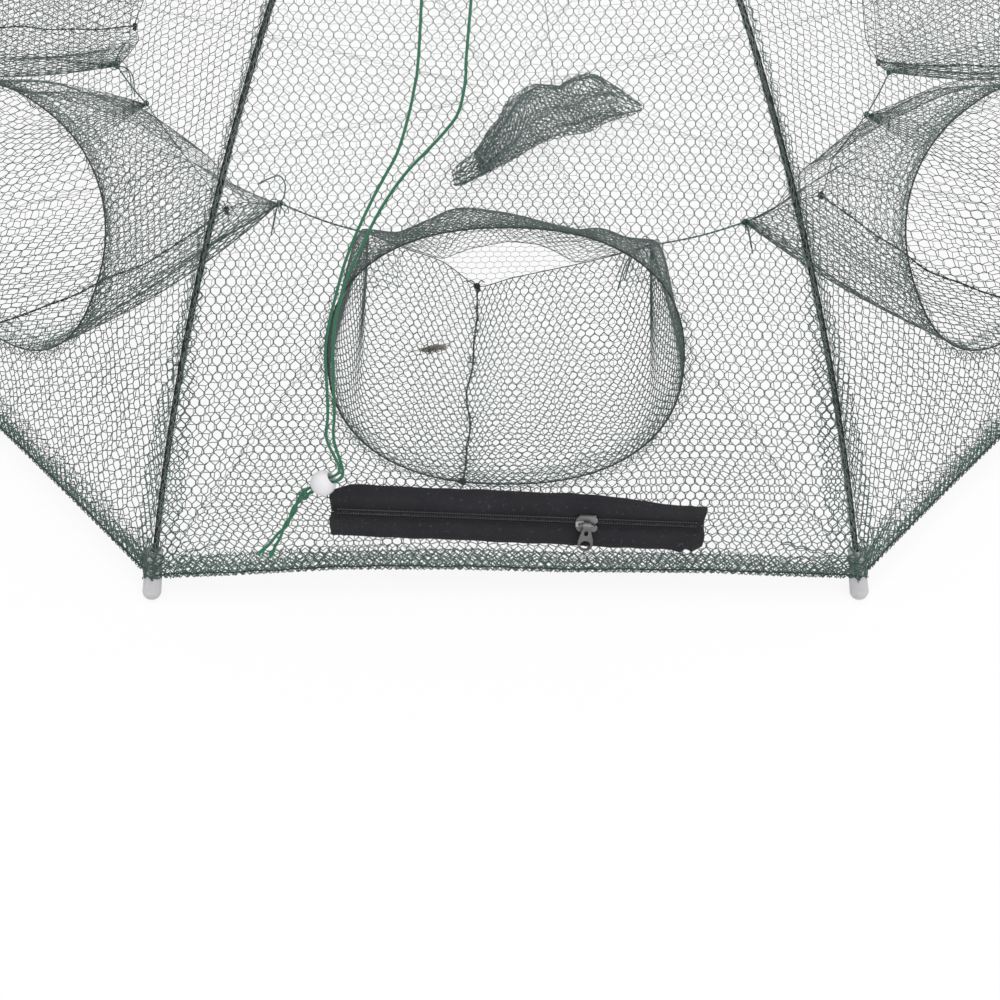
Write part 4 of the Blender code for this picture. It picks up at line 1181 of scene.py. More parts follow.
@dataclass
class NetPanel:
    """One of the eight slanting panels: netting, gathered edges, hem band and hem rope."""

    index: int
    net: HexNet = HexNet()
    gauge: float = 0.00021
    stouter: float = 0.50
    doubled: float = 1.2
    drawn: float = 1.55
    wander: float = 0.0009
    slack: float = 0.0016
    edge_threads: int = 2
    band: float = 0.0125
    rope_gauge: float = 0.00042
    cap_top: float = 0.0245
    cap_room: float = 0.0057

    @cached_property
    def drifts(self) -> list[Drift]:
        """The panel's own unevenness: across, along and out."""
        return [Drift(100 + 7 * self.index + i, length) for i, length in enumerate((0.07, 0.09, 0.05))]

    @property
    def looser(self) -> float:
        """How much larger its cells are than the front panel's, which keeps the panels behind light."""
        return 1.0 if self.index == 0 else 1.04 if self.index in BESIDE else 1.12

    def inside(self, x: Array, s: Array) -> Array:
        """Return which places of the pattern the netting covers."""
        width = FORM.half_width(s) - 0.0004
        return ((np.abs(x) < width) & (s > FORM.top_s + 0.0006) & (s < FORM.hem_s - 0.0004)
                & (FORM.hoop_reach(x, s) > 1.008))

    def gauge_at(self, s: Array) -> Array:
        """Return the twine's half thickness, stouter towards the hem where it is gathered."""
        return self.gauge * (1 + self.stouter * eased((s - 0.30) / 0.25))

    def stout_at(self, s: Array) -> Array:
        """Return the half thickness of the doubled and folded netting's twine."""
        return self.doubled * self.gauge_at(s)

    def in_band(self, x: Array, s: Array) -> Array:
        """Return which places the second layer covers: the hem band and the slack along both ribs."""
        ragged = 0.0018 * self.drifts[0].along(x)
        slack = 0.0035 + 0.0105 * eased((s - 0.40) / 0.19)
        at_rib = FORM.half_width(s) - np.abs(x) < slack + ragged
        return self.inside(x, s) & ((s > FORM.hem_s - self.band + ragged) | at_rib & (s > 0.12))

    def in_hem(self, x: Array, s: Array) -> Array:
        """Return which places the folded hem's third layer covers."""
        ragged = 0.0012 * self.drifts[1].along(x)
        return self.inside(x, s) & (s > FORM.hem_s - 0.78 * self.band + ragged)

    def in_corner(self, x: Array, s: Array) -> Array:
        """Return which places the netting drawn over the foot caps covers."""
        edge = FORM.half_width(s) - np.abs(x)
        return ((edge > -0.0050) & (edge < 0.013 - 0.5 * (FORM.hem_s - s)) & (s > FORM.hem_s - 0.024)
                & (s < FORM.hem_s))

    def hang(self, flat: Array, sink: float = 0.0004) -> Array:
        """Return pattern points on the hung panel, with its drift, its slack and its bulge over the foot caps.

        Args:
            flat: Points across and along.
            sink: How deep under the panel's middle surface they lie at least.

        Returns:
            Points in space, for the front panel.
        """
        x, s = flat[:, 0], flat[:, 1]
        edge = FORM.half_width(s) - np.abs(x)
        room = np.clip(edge / 0.03, 0.0, 1.0)
        ends = np.clip((FORM.hem_s - s) / 0.02, 0.0, 1.0) * np.clip((s - FORM.top_s) / 0.02, 0.0, 1.0)
        ends *= np.clip((FORM.hoop_reach(x, s) - 1.0) / 0.15, 0.0, 1.0)
        free = eased(room) * eased(ends)
        over_cap = eased((s - FORM.rib_length + self.cap_top + 0.008) / 0.008)
        rise = np.sqrt(np.clip(self.cap_room ** 2 - edge ** 2, 0.0, None)) - FORM.net_offset
        bulge = np.clip(rise, 0.0, None) * over_cap
        x = x + self.wander * self.drifts[0].at(x, s) * free
        s = s + self.wander * self.drifts[1].at(x, s) * eased(ends)
        s = s - hem_lift(self.index, x) * eased((s - FORM.hem_s + 0.06) / 0.055)
        out = bulge - sink * (bulge < 0.0002) - self.slack * free * np.abs(self.drifts[2].at(x, s))
        return FORM.on_panel(x, s, out)

    def edge_lines(self) -> list[Array]:
        """Return the threads gathered along both ribs."""
        s = np.arange(FORM.top_s + 0.001, FORM.hem_s - 0.001, 0.0028)
        lines = []
        for side in (-1, 1):
            for i in range(self.edge_threads):
                drift = Drift(2000 + 31 * self.index + 5 * i + side, 0.04).along(s)
                inset = 0.0012 + 0.0014 * i + (0.0005 + 0.0005 * i) * beating(len(s)) + 0.0006 * drift * (i > 0)
                lines.append(np.stack([side * (FORM.half_width(s) - np.maximum(inset, 0.0005)), s], axis=1))
        return lines

    def band_lines(self) -> list[Array]:
        """Return the gathered threads of the hem band and of the crown edge."""
        lines = []
        depths = (0.0010, 0.0030, 0.0052, 0.0076, self.band) if self.index in NEAR else (0.0010, 0.0052)
        places = [FORM.hem_s - d for d in depths]
        places += [FORM.top_s + d for d in (0.0010, 0.0024)]
        for i, level in enumerate(places):
            half = float(FORM.half_width(level)) - 0.0006
            x = np.arange(-half, half, 0.0019)
            wave = Drift(900 + 11 * self.index + i, 0.05).along(x)
            s = level + 0.0009 * beating(len(x)) + 0.0005 * wave * (i > 0)
            lines.append(np.stack([x, np.clip(s, FORM.top_s + 0.0004, FORM.hem_s - 0.0001)], axis=1))
        return lines

    def corner_lines(self) -> list[Array]:
        """Return the threads drawn together at the hem's two corners, over the foot caps."""
        draw = np.random.default_rng(60 + self.index)
        lines = []
        for side in (-1, 1):
            for i in range(7):
                start = np.array([float(FORM.half_width(FORM.hem_s)) - draw.uniform(0.020, 0.045),
                                  FORM.hem_s - draw.uniform(0.002, 0.022)])
                stop = np.array([float(FORM.half_width(FORM.hem_s)) - 0.0006,
                                 FORM.hem_s - 0.0015 - 0.0016 * i])
                share = np.linspace(0, 1, 12)[:, None]
                line = start + (stop - start) * share
                line[:, 1] += 0.0007 * beating(12)
                lines.append(np.stack([side * line[:, 0], line[:, 1]], axis=1))
        return lines

    def hoop_lines(self) -> list[Array]:
        """Return the threads that gather the panel onto its hoop."""
        lines = []
        for grow in (0.0022, 0.0040):
            turn = np.linspace(0, 2 * math.pi, 241)
            x, s = FORM.hoop(turn, grow)
            beat = beating(len(turn))
            lines.append(np.stack([x + 0.0008 * beat * np.cos(turn), s + 0.0009 * beat * np.sin(turn)], axis=1))
        return lines

    def build(self) -> bpy.types.Object:
        """Make the panel and return its piece."""
        threads, hem, dark = Threads(), Threads(), Threads()
        reach, span = FORM.hem_side / 2, (FORM.top_s, FORM.hem_s)
        net = self.net.scaled(self.looser, self.looser, twist=0.0 if self.index else self.net.twist)
        net.lay(threads, reach, span, self.inside, self.hang, self.gauge_at)
        shifted = self.net.scaled(0.93, 0.9, 0.9)
        shifted.lay(hem, reach, span, self.in_band, self.hang, self.stout_at)
        folded = self.net.scaled(0.8, 0.62, 0.6)
        folded.lay(hem, reach, span, self.in_hem, self.hang, self.stout_at)
        shifted.lay(hem, reach, span, self.in_corner, lambda flat: self.hang(flat, 0.0), self.stout_at)
        for line in self.edge_lines() + self.hoop_lines():
            threads.lay(self.hang(line), self.gauge * self.doubled)
        for line in self.band_lines() + self.corner_lines():
            hem.lay(self.hang(line), self.gauge * self.drawn)
        half = float(FORM.half_width(FORM.hem_s)) - 0.0006
        along = np.linspace(-half, half, 90)
        sway = FORM.hem_s - 0.0024 + 0.0003 * Drift(960 + self.index, 0.03).along(along)
        dark.lay(self.hang(np.stack([along, sway], axis=1), 0.0), self.rope_gauge)
        turn = self.index * FORM.step
        name = f"net_gore_{self.index + 1}"
        piece = fused(name, [threads.turned(turn).spun(name, Paint.GORE_NET),
                             hem.turned(turn).spun(name + "_hem", Paint.HEM_NET),
                             dark.turned(turn).spun(name + "_rope", Paint.SEAM, 5)])
        return panel_piece(piece, self.index, f"gore_{self.index + 1}", "gore")


def panel_piece(piece: bpy.types.Object, index: int, node: str, slot: str) -> bpy.types.Object:
    """Attach a net of a panel or of the floor to its body, in place of the hidden solid."""
    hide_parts(node)
    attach(piece, f"floor_{index + 1}" if slot == "floor" else f"panel_{index + 1}")
    FORM.tangent(index)
    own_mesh(piece)
    return piece


@dataclass(frozen=True)
class Slit:
    """How one funnel's slit hangs: its knot's side, how deep it gapes and where its corners are pulled to."""

    flip: int = 1
    gape: float = 1.0
    left: Colour = (0.0, 0.0, 0.0)
    right: Colour = (0.0, 0.0, 0.0)
    loop: int = 1
    tail: int = 1
    knot: float = -0.215
    upper: tuple[tuple[float, float], ...] = (
        (-1.0, 0.0), (-0.84, 5.6), (-0.72, 9.6), (-0.463, 17.2), (-0.36, 11.7), (-0.26, 7.6), (0.0, 1.0),
        (0.22, 2.4), (0.36, 8.6), (0.47, 15.6), (0.74, 8.2), (1.0, 0.0))
    lower: tuple[tuple[float, float], ...] = (
        (-1.0, 0.0), (-0.84, 6.2), (-0.72, 10.6), (-0.463, 18.2), (-0.333, 25.0), (-0.215, 31.5), (-0.05, 29.6),
        (0.11, 26.8), (0.33, 20.8), (0.47, 17.0), (0.74, 8.8), (1.0, 0.0))

    def drop(self, share: Array, lower: bool) -> Array:
        """Return how far a lip hangs below the corners' line.

        Args:
            share: Places from -1 at the left corner to 1 at the right one.
            lower: Whether it is the lower lip.

        Returns:
            The drops in metres.
        """
        places, drops = zip(*(self.lower if lower else self.upper))
        fine = np.linspace(-1.1, 1.1, 441)
        even = np.convolve(np.interp(fine, places, drops), np.ones(13) / 13, "same")
        return np.interp(share * self.flip, fine, even) * 0.001 * self.gape

    @property
    def knot_x(self) -> float:
        """Where the knot is across the panel."""
        return self.knot * self.flip * FORM.slit_half


SLITS = (
    Slit(1, 1.0, (-0.0033, 0.0, 0.0065), (0.0092, -0.001, -0.0017), 0),
    Slit(-1, 0.9, (0.0083, -0.0085, -0.0034), (-0.002, 0.006, -0.004), 0, -1),
    Slit(1, 1.1, (0.0, 0.004, -0.006), (0.0, 0.0, 0.0), 1),
    Slit(-1, 1.0, (0.002, 0.0, 0.003), (-0.003, 0.002, -0.004), -1),
    Slit(1, 0.85, (-0.002, 0.003, -0.004), (0.002, 0.002, 0.003), 1),
    Slit(-1, 1.1, (0.003, 0.0, 0.004), (0.0, 0.003, -0.003), -1),
    Slit(1, 0.95, (0.0, 0.002, 0.004), (0.002, 0.004, 0.0), 1),
    Slit(-1, 1.0, (0.003, 0.010, 0.003), (-0.0122, 0.007, 0.0003), 1),
)


@dataclass
class Entrance:
    """A wire hoop with the netting funnel that is sewn to it and ends in a slit."""

    index: int
    gauge: float = 0.00019
    wire: float = 0.00045
    belly: float = 0.017
    sag: float = 0.011
    pleat: float = 0.003
    tie: float = 0.00038
    gather: float = 0.30

    @cached_property
    def slit(self) -> Slit:
        """How this funnel's slit hangs."""
        return SLITS[self.index]

    @cached_property
    def cells(self) -> tuple[int, int]:
        """How many cells its netting has round the hoop and along the funnel: most in the front one."""
        return {0: (122, 36), 1: (92, 28), 7: (92, 28)}.get(self.index, (82, 25))

    @property
    def thrift(self) -> int:
        """How sparsely the gathered threads are laid: more so in the funnels at the back."""
        return 2 if self.index in NEAR else 3

    @cached_property
    def turns(self) -> Array:
        """Turns of the hoop at equal lengths of its wire, from 0 to one full turn."""
        turn = np.linspace(0, 2 * math.pi, TURN_STEPS)
        x, s = FORM.hoop(turn)
        length = np.concatenate([[0.0], np.cumsum(np.hypot(np.diff(x), np.diff(s)))])
        return np.interp(np.linspace(0, 1, TURN_STEPS), length / length[-1], turn)

    def turn_at(self, u: Array) -> Array:
        """Return the turn at a share u of the way round the wire."""
        whole = np.floor(u)
        return np.interp(u - whole, np.linspace(0, 1, TURN_STEPS), self.turns) + 2 * math.pi * whole

    def corner(self, side: int) -> Array:
        """Return the slit's corner on one side, for the front panel."""
        pull = self.slit.right if side > 0 else self.slit.left
        return np.array([side * FORM.slit_half, -FORM.slit_distance, FORM.slit_height]) + pull

    def lip(self, turn: Array) -> Array:
        """Return the slit's edge, closed by its own weight at both sides and drawn down to the knot."""
        side = np.clip(1.25 * np.cos(turn), -1.0, 1.0)
        x = (FORM.slit_half - 0.0055) * side + 0.0055 * np.cos(turn)
        lower = np.sin(turn) > 0
        share = x / FORM.slit_half
        drop = np.where(lower, self.slit.drop(share, True), self.slit.drop(share, False))
        pull = np.where(lower, 0.0073 * np.exp(-((x - self.slit.knot_x) / 0.014) ** 2), 0.0)
        points = np.stack([x, -FORM.slit_distance - pull, FORM.slit_height - drop], axis=-1)
        for way, shift in ((1, self.slit.right), (-1, self.slit.left)):
            share = np.clip((1 + way * x / FORM.slit_half) / 2, 0, 1) ** 1.6
            points = points + share[..., None] * np.array(shift)
        return points

    def surface(self, turn: Array, v: Array) -> Array:
        """Return points of the funnel's netting.

        Args:
            turn: Angles round the hoop, from the right and then down.
            v: From 0 on the hoop to 1 on the slit.

        Returns:
            Points in space, for the front panel.
        """
        x, s = FORM.hoop(turn, -0.0002)
        start, stop = FORM.on_panel(x, s, -0.0002), self.lip(turn)
        share = np.asarray(v)[..., None]
        points = start + (stop - start) * share
        upper, lower = np.clip(-np.sin(turn), 0, 1), np.clip(np.sin(turn), 0, 1)
        swell = np.sin(math.pi * np.clip(v, 0, 1))
        hump = np.interp(self.slit.flip * np.cos(turn), [-1.0, -0.8, -0.6, -0.15, 0.1, 0.35, 0.6, 0.85, 1.0],
                         [0.85, 1.30, 1.05, 1.10, 0.95, 0.60, 1.00, 1.40, 0.90])
        fold = np.sin(9 * turn + 1.3 * self.index + 1.5 * Drift(300 + self.index, 2.5).along(turn))
        ripple = self.pleat * fold * swell ** 0.7
        points[..., 2] += self.belly * swell * upper * hump - self.sag * swell * lower - ripple * np.sin(turn)
        points[..., 0] += ripple * np.cos(turn) * 0.6
        off = points[..., 0] - self.seam_x(np.asarray(v))
        points[..., 0] -= self.gather * off * np.exp(-(off / 0.016) ** 2) * lower * (0.35 + 0.65 * swell)
        grain = Drift(340 + self.index, 0.05)
        points[..., 1] += 0.0016 * swell * grain.at(points[..., 0], points[..., 2])
        return points

    def seam_x(self, v: Array) -> Array:
        """Return where the seam runs across the funnel at a share of its depth."""
        foot = self.slit.knot_x - 0.006
        wave = 0.0016 * np.sin(9 * v + self.index) + 0.0009 * np.sin(23 * v)
        return foot + (self.slit.knot_x - foot) * v + wave * np.sin(math.pi * v)

    def netting(self) -> Threads:
        """Return the funnel's net and its gathered collar."""
        threads, net = Threads(), RoundNet(*self.cells)
        gauge = self.gauge * (1.05 if self.index else 1.25)

        def stout(turn: Array) -> Array:
            """Return how much stouter the twine is: most along the funnel's foot."""
            return 1.0 + 0.20 * np.clip(3 * np.sin(turn), -1, 1)

        for u, share in net.threads():
            turn = self.bunched(u)
            threads.lay(self.surface(turn, share ** 1.25), gauge * 1.25 * stout(turn))
        u, share = net.links()
        turn = self.bunched(u)
        threads.lay_many(self.surface(turn, share ** 1.25), gauge * stout(turn))
        return threads

    def bunched(self, u: Array) -> Array:
        """Return turns for shares of the way round, a little closer in some places than in others."""
        return self.turn_at(u + 0.0035 * np.sin(2 * math.pi * (5 * u + 0.13 * self.index))
                            + 0.0016 * np.sin(2 * math.pi * (13 * u + 0.31 * self.index)))

    def gathered(self, turn: Array, share: Array) -> Array:
        """Return points of the slack netting gathered against the hoop.

        Args:
            turn: Angles round the hoop.
            share: From 0 just outside the wire to 1 at the band's inner edge.

        Returns:
            Points in space, for the front panel.
        """
        angles = np.radians([0, 30, 60, 90, 120, 150, 180, 210, 225, 250, 270, 300, 325, 345, 360])
        widths = np.array([11, 9, 8, 6, 5, 4, 5, 12, 13, 9, 8, 10, 15, 13, 11]) * 0.001
        if self.slit.flip < 0:
            angles, widths = np.sort((math.pi - angles) % (2 * math.pi)), widths[::-1]
        turn, share = np.broadcast_arrays(turn, share)
        width = np.interp(turn % (2 * math.pi), angles, widths)
        x, s, away = FORM.hoop_away(turn)
        crumple = Drift(480 + self.index, 0.022).at(x, s)
        inward = share * width * (1 + 0.42 * crumple) - 0.0024
        ruffle = Drift(520 + self.index, 0.012).at(x + 0.3 * inward, s)
        sag = 0.0010 + 0.0045 * share ** 1.5 + 0.0018 * ruffle
        return FORM.on_panel(x - inward * away[..., 0], s - inward * away[..., 1],
                             -np.clip(sag, 0.0004, None))

    def bunch(self, threads: Threads) -> None:
        """Lay the slack netting that is gathered against the hoop."""
        net = RoundNet(76, 3, 0.2) if self.index else RoundNet(116, 4, 0.2)
        for u, share in net.threads():
            threads.lay(self.gathered(self.bunched(u), share), self.gauge * 1.1)
        u, share = net.links()
        threads.lay_many(self.gathered(self.bunched(u), share), self.gauge)

    def collar(self) -> Threads:
        """Return the slack netting that is bunched inside the hoop, most along its top."""
        threads = Threads()
        if self.thrift == 2:
            self.bunch(threads)
        count = 260
        u = np.linspace(0, 1, count + 1)
        for i in range(0, 6, self.thrift):
            wave = Drift(400 + 9 * self.index + i, 0.1).along(u)
            v = 0.012 + 0.015 * i + 0.008 * beating(count + 1) + 0.006 * wave
            threads.lay(self.surface(self.turn_at(u), np.clip(v, 0.0, 1.0)), self.gauge * 1.1)
        for i in range(0, 8, self.thrift):
            u = 0.5 + 0.5 * np.linspace(0.02 + 0.01 * i, 1.08 - 0.02 * i, 170)
            v = 0.02 + 0.024 * i + 0.012 * beating(170) + 0.010 * Drift(470 + 9 * self.index + i, 0.1).along(u)
            threads.lay(self.surface(self.turn_at(u), np.clip(v, 0.0, 1.0)), self.gauge * 1.1)
        self.whip(threads)
        return threads

    def whip(self, threads: Threads) -> None:
        """Wind twine round the hoop wire."""
        u = np.linspace(0, 1, 520)
        x, s, away = FORM.hoop_away(self.turn_at(u))
        spiral = 2 * math.pi * 64 * u
        reach = self.wire + 0.5 * self.gauge
        side = reach * np.cos(spiral)
        threads.lay(FORM.on_panel(x + side * away[:, 0], s + side * away[:, 1], reach * np.sin(spiral)),
                    0.6 * self.gauge)

    def half_tie(self, threads: Threads, side: int) -> None:
        """Lay the twisted tie from a slit corner half-way to the next panel's corner."""
        corner = self.corner(side)
        other = Entrance((self.index + side) % FORM.sides).corner(-side)
        neighbour = spin_about_z(other[None, :], side * FORM.step)[0]
        share = np.linspace(0.0, 0.5, 18)
        line = corner + (neighbour - corner) * share[:, None]
        line[:, 2] -= 0.002 * np.sin(2 * math.pi * share / 2)
        for phase in (0.0, math.pi):
            twist = 2 * math.pi * share * 9 + phase
            offset = np.stack([0 * twist, np.cos(twist), np.sin(twist)], axis=1) * self.tie * 0.8
            threads.lay(line + offset, self.tie)
        threads.lay(wound_knot(corner, 0.0017, 5), self.tie)

    def corner_loops(self, threads: Threads) -> None:
        """Leave one wide loop, a few small ones and a loose tail of twine at one corner of the slit."""
        side = self.slit.tail
        draw = np.random.default_rng(50 + self.index)
        corner = self.corner(side)
        if self.slit.loop:
            wide = np.array([(0, 0, 0), (0.4, 0.1, 0.7), (0.1, 0.5, 1.25), (-0.7, 0.7, 1.3), (-1.5, 0.4, 0.8),
                             (-2.1, 0.0, 0.3)]) * 0.010
            threads.lay(self.corner(self.slit.loop) + curved(wide * (self.slit.loop, 1, 1), 5), 0.00045)
        for _ in range(3):
            size, lean = draw.uniform(0.003, 0.006), draw.uniform(0, 2 * math.pi)
            a = np.linspace(0, 2 * math.pi, 14)
            loop = np.stack([size * (np.cos(a) - 1) * math.cos(lean), size * (np.cos(a) - 1) * math.sin(lean) * 0.6,
                             size * 0.7 * np.sin(a)], axis=1)
            threads.lay(corner + loop, 0.0003)
        tail = np.array([(0, 0, 0), (-0.007, 0.004, -0.006), (-0.014, 0.005, -0.018), (-0.018, 0.002, -0.036)])
        for length in (1.0, 0.8):
            threads.lay(corner + curved(tail * (side, 1, 1) * length, 4), 0.00042)

    def seam(self, dark: Threads, tufts: Threads) -> None:
        """Sew the lower netting up to its knot, with slack twine caught in the seam."""
        v = np.linspace(0, 1, 36)
        turns = np.linspace(0.06, math.pi - 0.06, 260)
        found = self.surface(turns[None, :], v[:, None])[..., 0]
        path = self.surface(np.array([np.interp(-x, -row, turns) for x, row in zip(self.seam_x(v), found)]), v)
        draw = np.random.default_rng(90 + self.index)
        for phase in (0.0, math.pi):
            wind = 2 * math.pi * v * 13 + phase
            wobble = 0.45 * Drift(95 + self.index, 0.2).along(v)
            dark.lay(path + np.stack([np.cos(wind) + wobble, 0 * wind, np.sin(wind)], axis=1) * 0.0005, 0.00036)
        for _ in range(34):
            place = int(draw.integers(1, len(v) - 1))
            size = draw.uniform(0.002, 0.006) * (1.6 if place < 5 else 1.0)
            a = np.linspace(0, 2 * math.pi * draw.uniform(0.5, 1.0), 9)
            lean = draw.uniform(-1, 1)
            tufts.lay(path[place] + size * np.stack([np.sin(a) * (0.6 if lean > 0 else -0.6), 0.2 * lean * np.sin(a),
                                                     (1 - np.cos(a)) * 0.5 * lean], axis=1), self.gauge * 1.2)
        dark.lay(wound_knot(path[-1], 0.0015, 6), 0.0006)
        dark.lay(wound_knot(path[-1] + (0.0007, -0.0006, -0.0022), 0.0011, 4), 0.0005)
        dark.lay(wound_knot(path[0], 0.0015, 5), 0.0005)
        for end in (-0.0065, 0.0045):
            dark.lay(path[-1] + curved([(0, 0, 0), (end * 0.5, 0.001, 0.0035), (end, 0.002, 0.0015)], 4), 0.00035)

    def build(self) -> bpy.types.Object:
        """Make the entrance and return its piece."""
        turn = self.index * FORM.step
        name = f"net_funnel_{self.index + 1}"
        netting, collar = self.netting(), self.collar()
        wire, dark, green = Threads(), Threads(), Threads()
        x, s = FORM.hoop(self.turn_at(np.linspace(0, 1, 121)))
        wire.lay(FORM.on_panel(x, s), self.wire)
        round_lip = np.linspace(0, 2 * math.pi, 145)
        dark.lay(self.lip(round_lip[:73]), 0.00030)
        netting.lay(self.lip(round_lip[72:]), 0.00028)
        self.seam(dark, collar)
        self.half_tie(green, -1)
        self.half_tie(green, 1)
        self.corner_loops(green)
        parts = [netting.turned(turn).spun(name, Paint.FUNNEL_NET),
                 collar.turned(turn).spun(name + "_collar", Paint.COLLAR_NET),
                 wire.turned(turn).spun(name + "_wire", Paint.HOOP_WIRE, 10),
                 dark.turned(turn).spun(name + "_seam", Paint.SEAM, 5),
                 green.turned(turn).spun(name + "_tie", Paint.TIE, 5)]
        if self.index == 0:
            parts.append(self.lint().spun(name + "_lint", Paint.LINT))
        return panel_piece(fused(name, parts), self.index, f"entrance_{self.index + 1}", "entrance")

    def lint(self) -> Threads:
        """Return the scrap of pale lint that is caught in the front funnel."""
        threads = Threads()
        draw = np.random.default_rng(7)
        centre = self.surface(np.array([2.0]), np.array([0.60]))[0]
        for _ in range(70):
            share = draw.normal(0, 1)
            at = centre + share * np.array((0.0034, 0.0, 0.0009))
            at = at + draw.normal(0, 1, 3) * (0.0006, 0.0004, 0.0008)
            lean = np.array((0.0036, 0.0, 0.0006)) + draw.normal(0, 1, 3) * (0.0010, 0.0006, 0.0009)
            threads.lay(curved([at - lean, at + draw.normal(0, 0.0005, 3), at + lean], 2), 0.00022)
        return threads


def wound_knot(centre: Array, size: float, rounds: int) -> Array:
    """Return a thread wound into a small ball round a point."""
    a = np.linspace(0, 1, 14 * rounds)
    polar, turn = math.pi * a, 2 * math.pi * rounds * a
    return centre + size * np.stack([np.sin(polar) * np.cos(turn), np.sin(polar) * np.sin(turn), np.cos(polar)],
                                    axis=1)


@dataclass
class FloorPanel:
    """One of the eight sectors of the netting floor."""

    index: int
    net: HexNet = HexNet(0.0094, 0.0080, 0.0038, 0.0)
    gauge: float = 0.00018
    wander: float = 0.0012
    inner: float = 0.0125

    @property
    def looser(self) -> float:
        """What the net's measures are multiplied by: least in the front sector, seen best."""
        return 0.66 if self.index == 0 else 1.0 if self.index in BESIDE else 1.25

    @cached_property
    def depth(self) -> float:
        """Distance from the axis to the sector's outer edge."""
        return float(FORM.net_radius(FORM.hem_s)) * math.cos(FORM.half) - 0.0016

    def inside(self, x: Array, y: Array) -> Array:
        """Return which places the sector covers, with y counted outwards."""
        return ((y > self.inner) & (y < self.depth) & (np.abs(x) < y * math.tan(FORM.half) - 0.0002)
                & (np.abs(x) < FORM.hem_side / 2 - 0.0105))

    def lay_flat(self, flat: Array) -> Array:
        """Return pattern points on the floor, with a little drift and slack."""
        x, y = flat[:, 0], flat[:, 1]
        free = eased((y * math.tan(FORM.half) - np.abs(x)) / 0.03) * eased((self.depth - y) / 0.03)
        x = x + self.wander * Drift(600 + self.index, 0.08).at(x, y) * free
        y = y + self.wander * Drift(620 + self.index, 0.08).at(x, y) * free
        lift = hem_lift(self.index, x) * eased((y - self.depth + 0.06) / 0.055)
        slope = float(FORM.rib(FORM.hem_s)[2])
        y = y - lift * math.cos(slope)
        sag = 0.0018 * np.abs(Drift(640 + self.index, 0.07).at(x, y)) * free
        return np.stack([x, -y, FORM.hem_height + lift * math.sin(slope) - sag], axis=1)

    def build(self) -> bpy.types.Object:
        """Make the sector and return its piece."""
        threads = Threads()
        self.net.scaled(self.looser, self.looser).lay(
            threads, FORM.hem_side / 2, (self.inner, self.depth), self.inside, self.lay_flat,
            lambda y: self.gauge + 0.00009 * eased((y - 0.26) / 0.14))
        y = np.arange(self.inner + 0.001, self.depth - 0.012, 0.0039)
        for side in (-1, 1):
            x = side * (y * math.tan(FORM.half) - 0.0012 - 0.0009 * beating(len(y)))
            threads.lay(self.lay_flat(np.stack([x, y], axis=1)), self.gauge)
        for i in range(5):
            x = np.arange(-FORM.hem_side / 2 + 0.0115, FORM.hem_side / 2 - 0.0115, 0.0022)
            level = self.depth - 0.0014 - 0.0030 * i - 0.0010 * beating(len(x))
            threads.lay(self.lay_flat(np.stack([x, level], axis=1)), self.gauge * 1.5)
        name = f"net_floor_{self.index + 1}"
        piece = threads.turned(self.index * FORM.step).spun(name, Paint.FLOOR_NET)
        return panel_piece(piece, self.index, f"floor_{self.index + 1}", "floor")


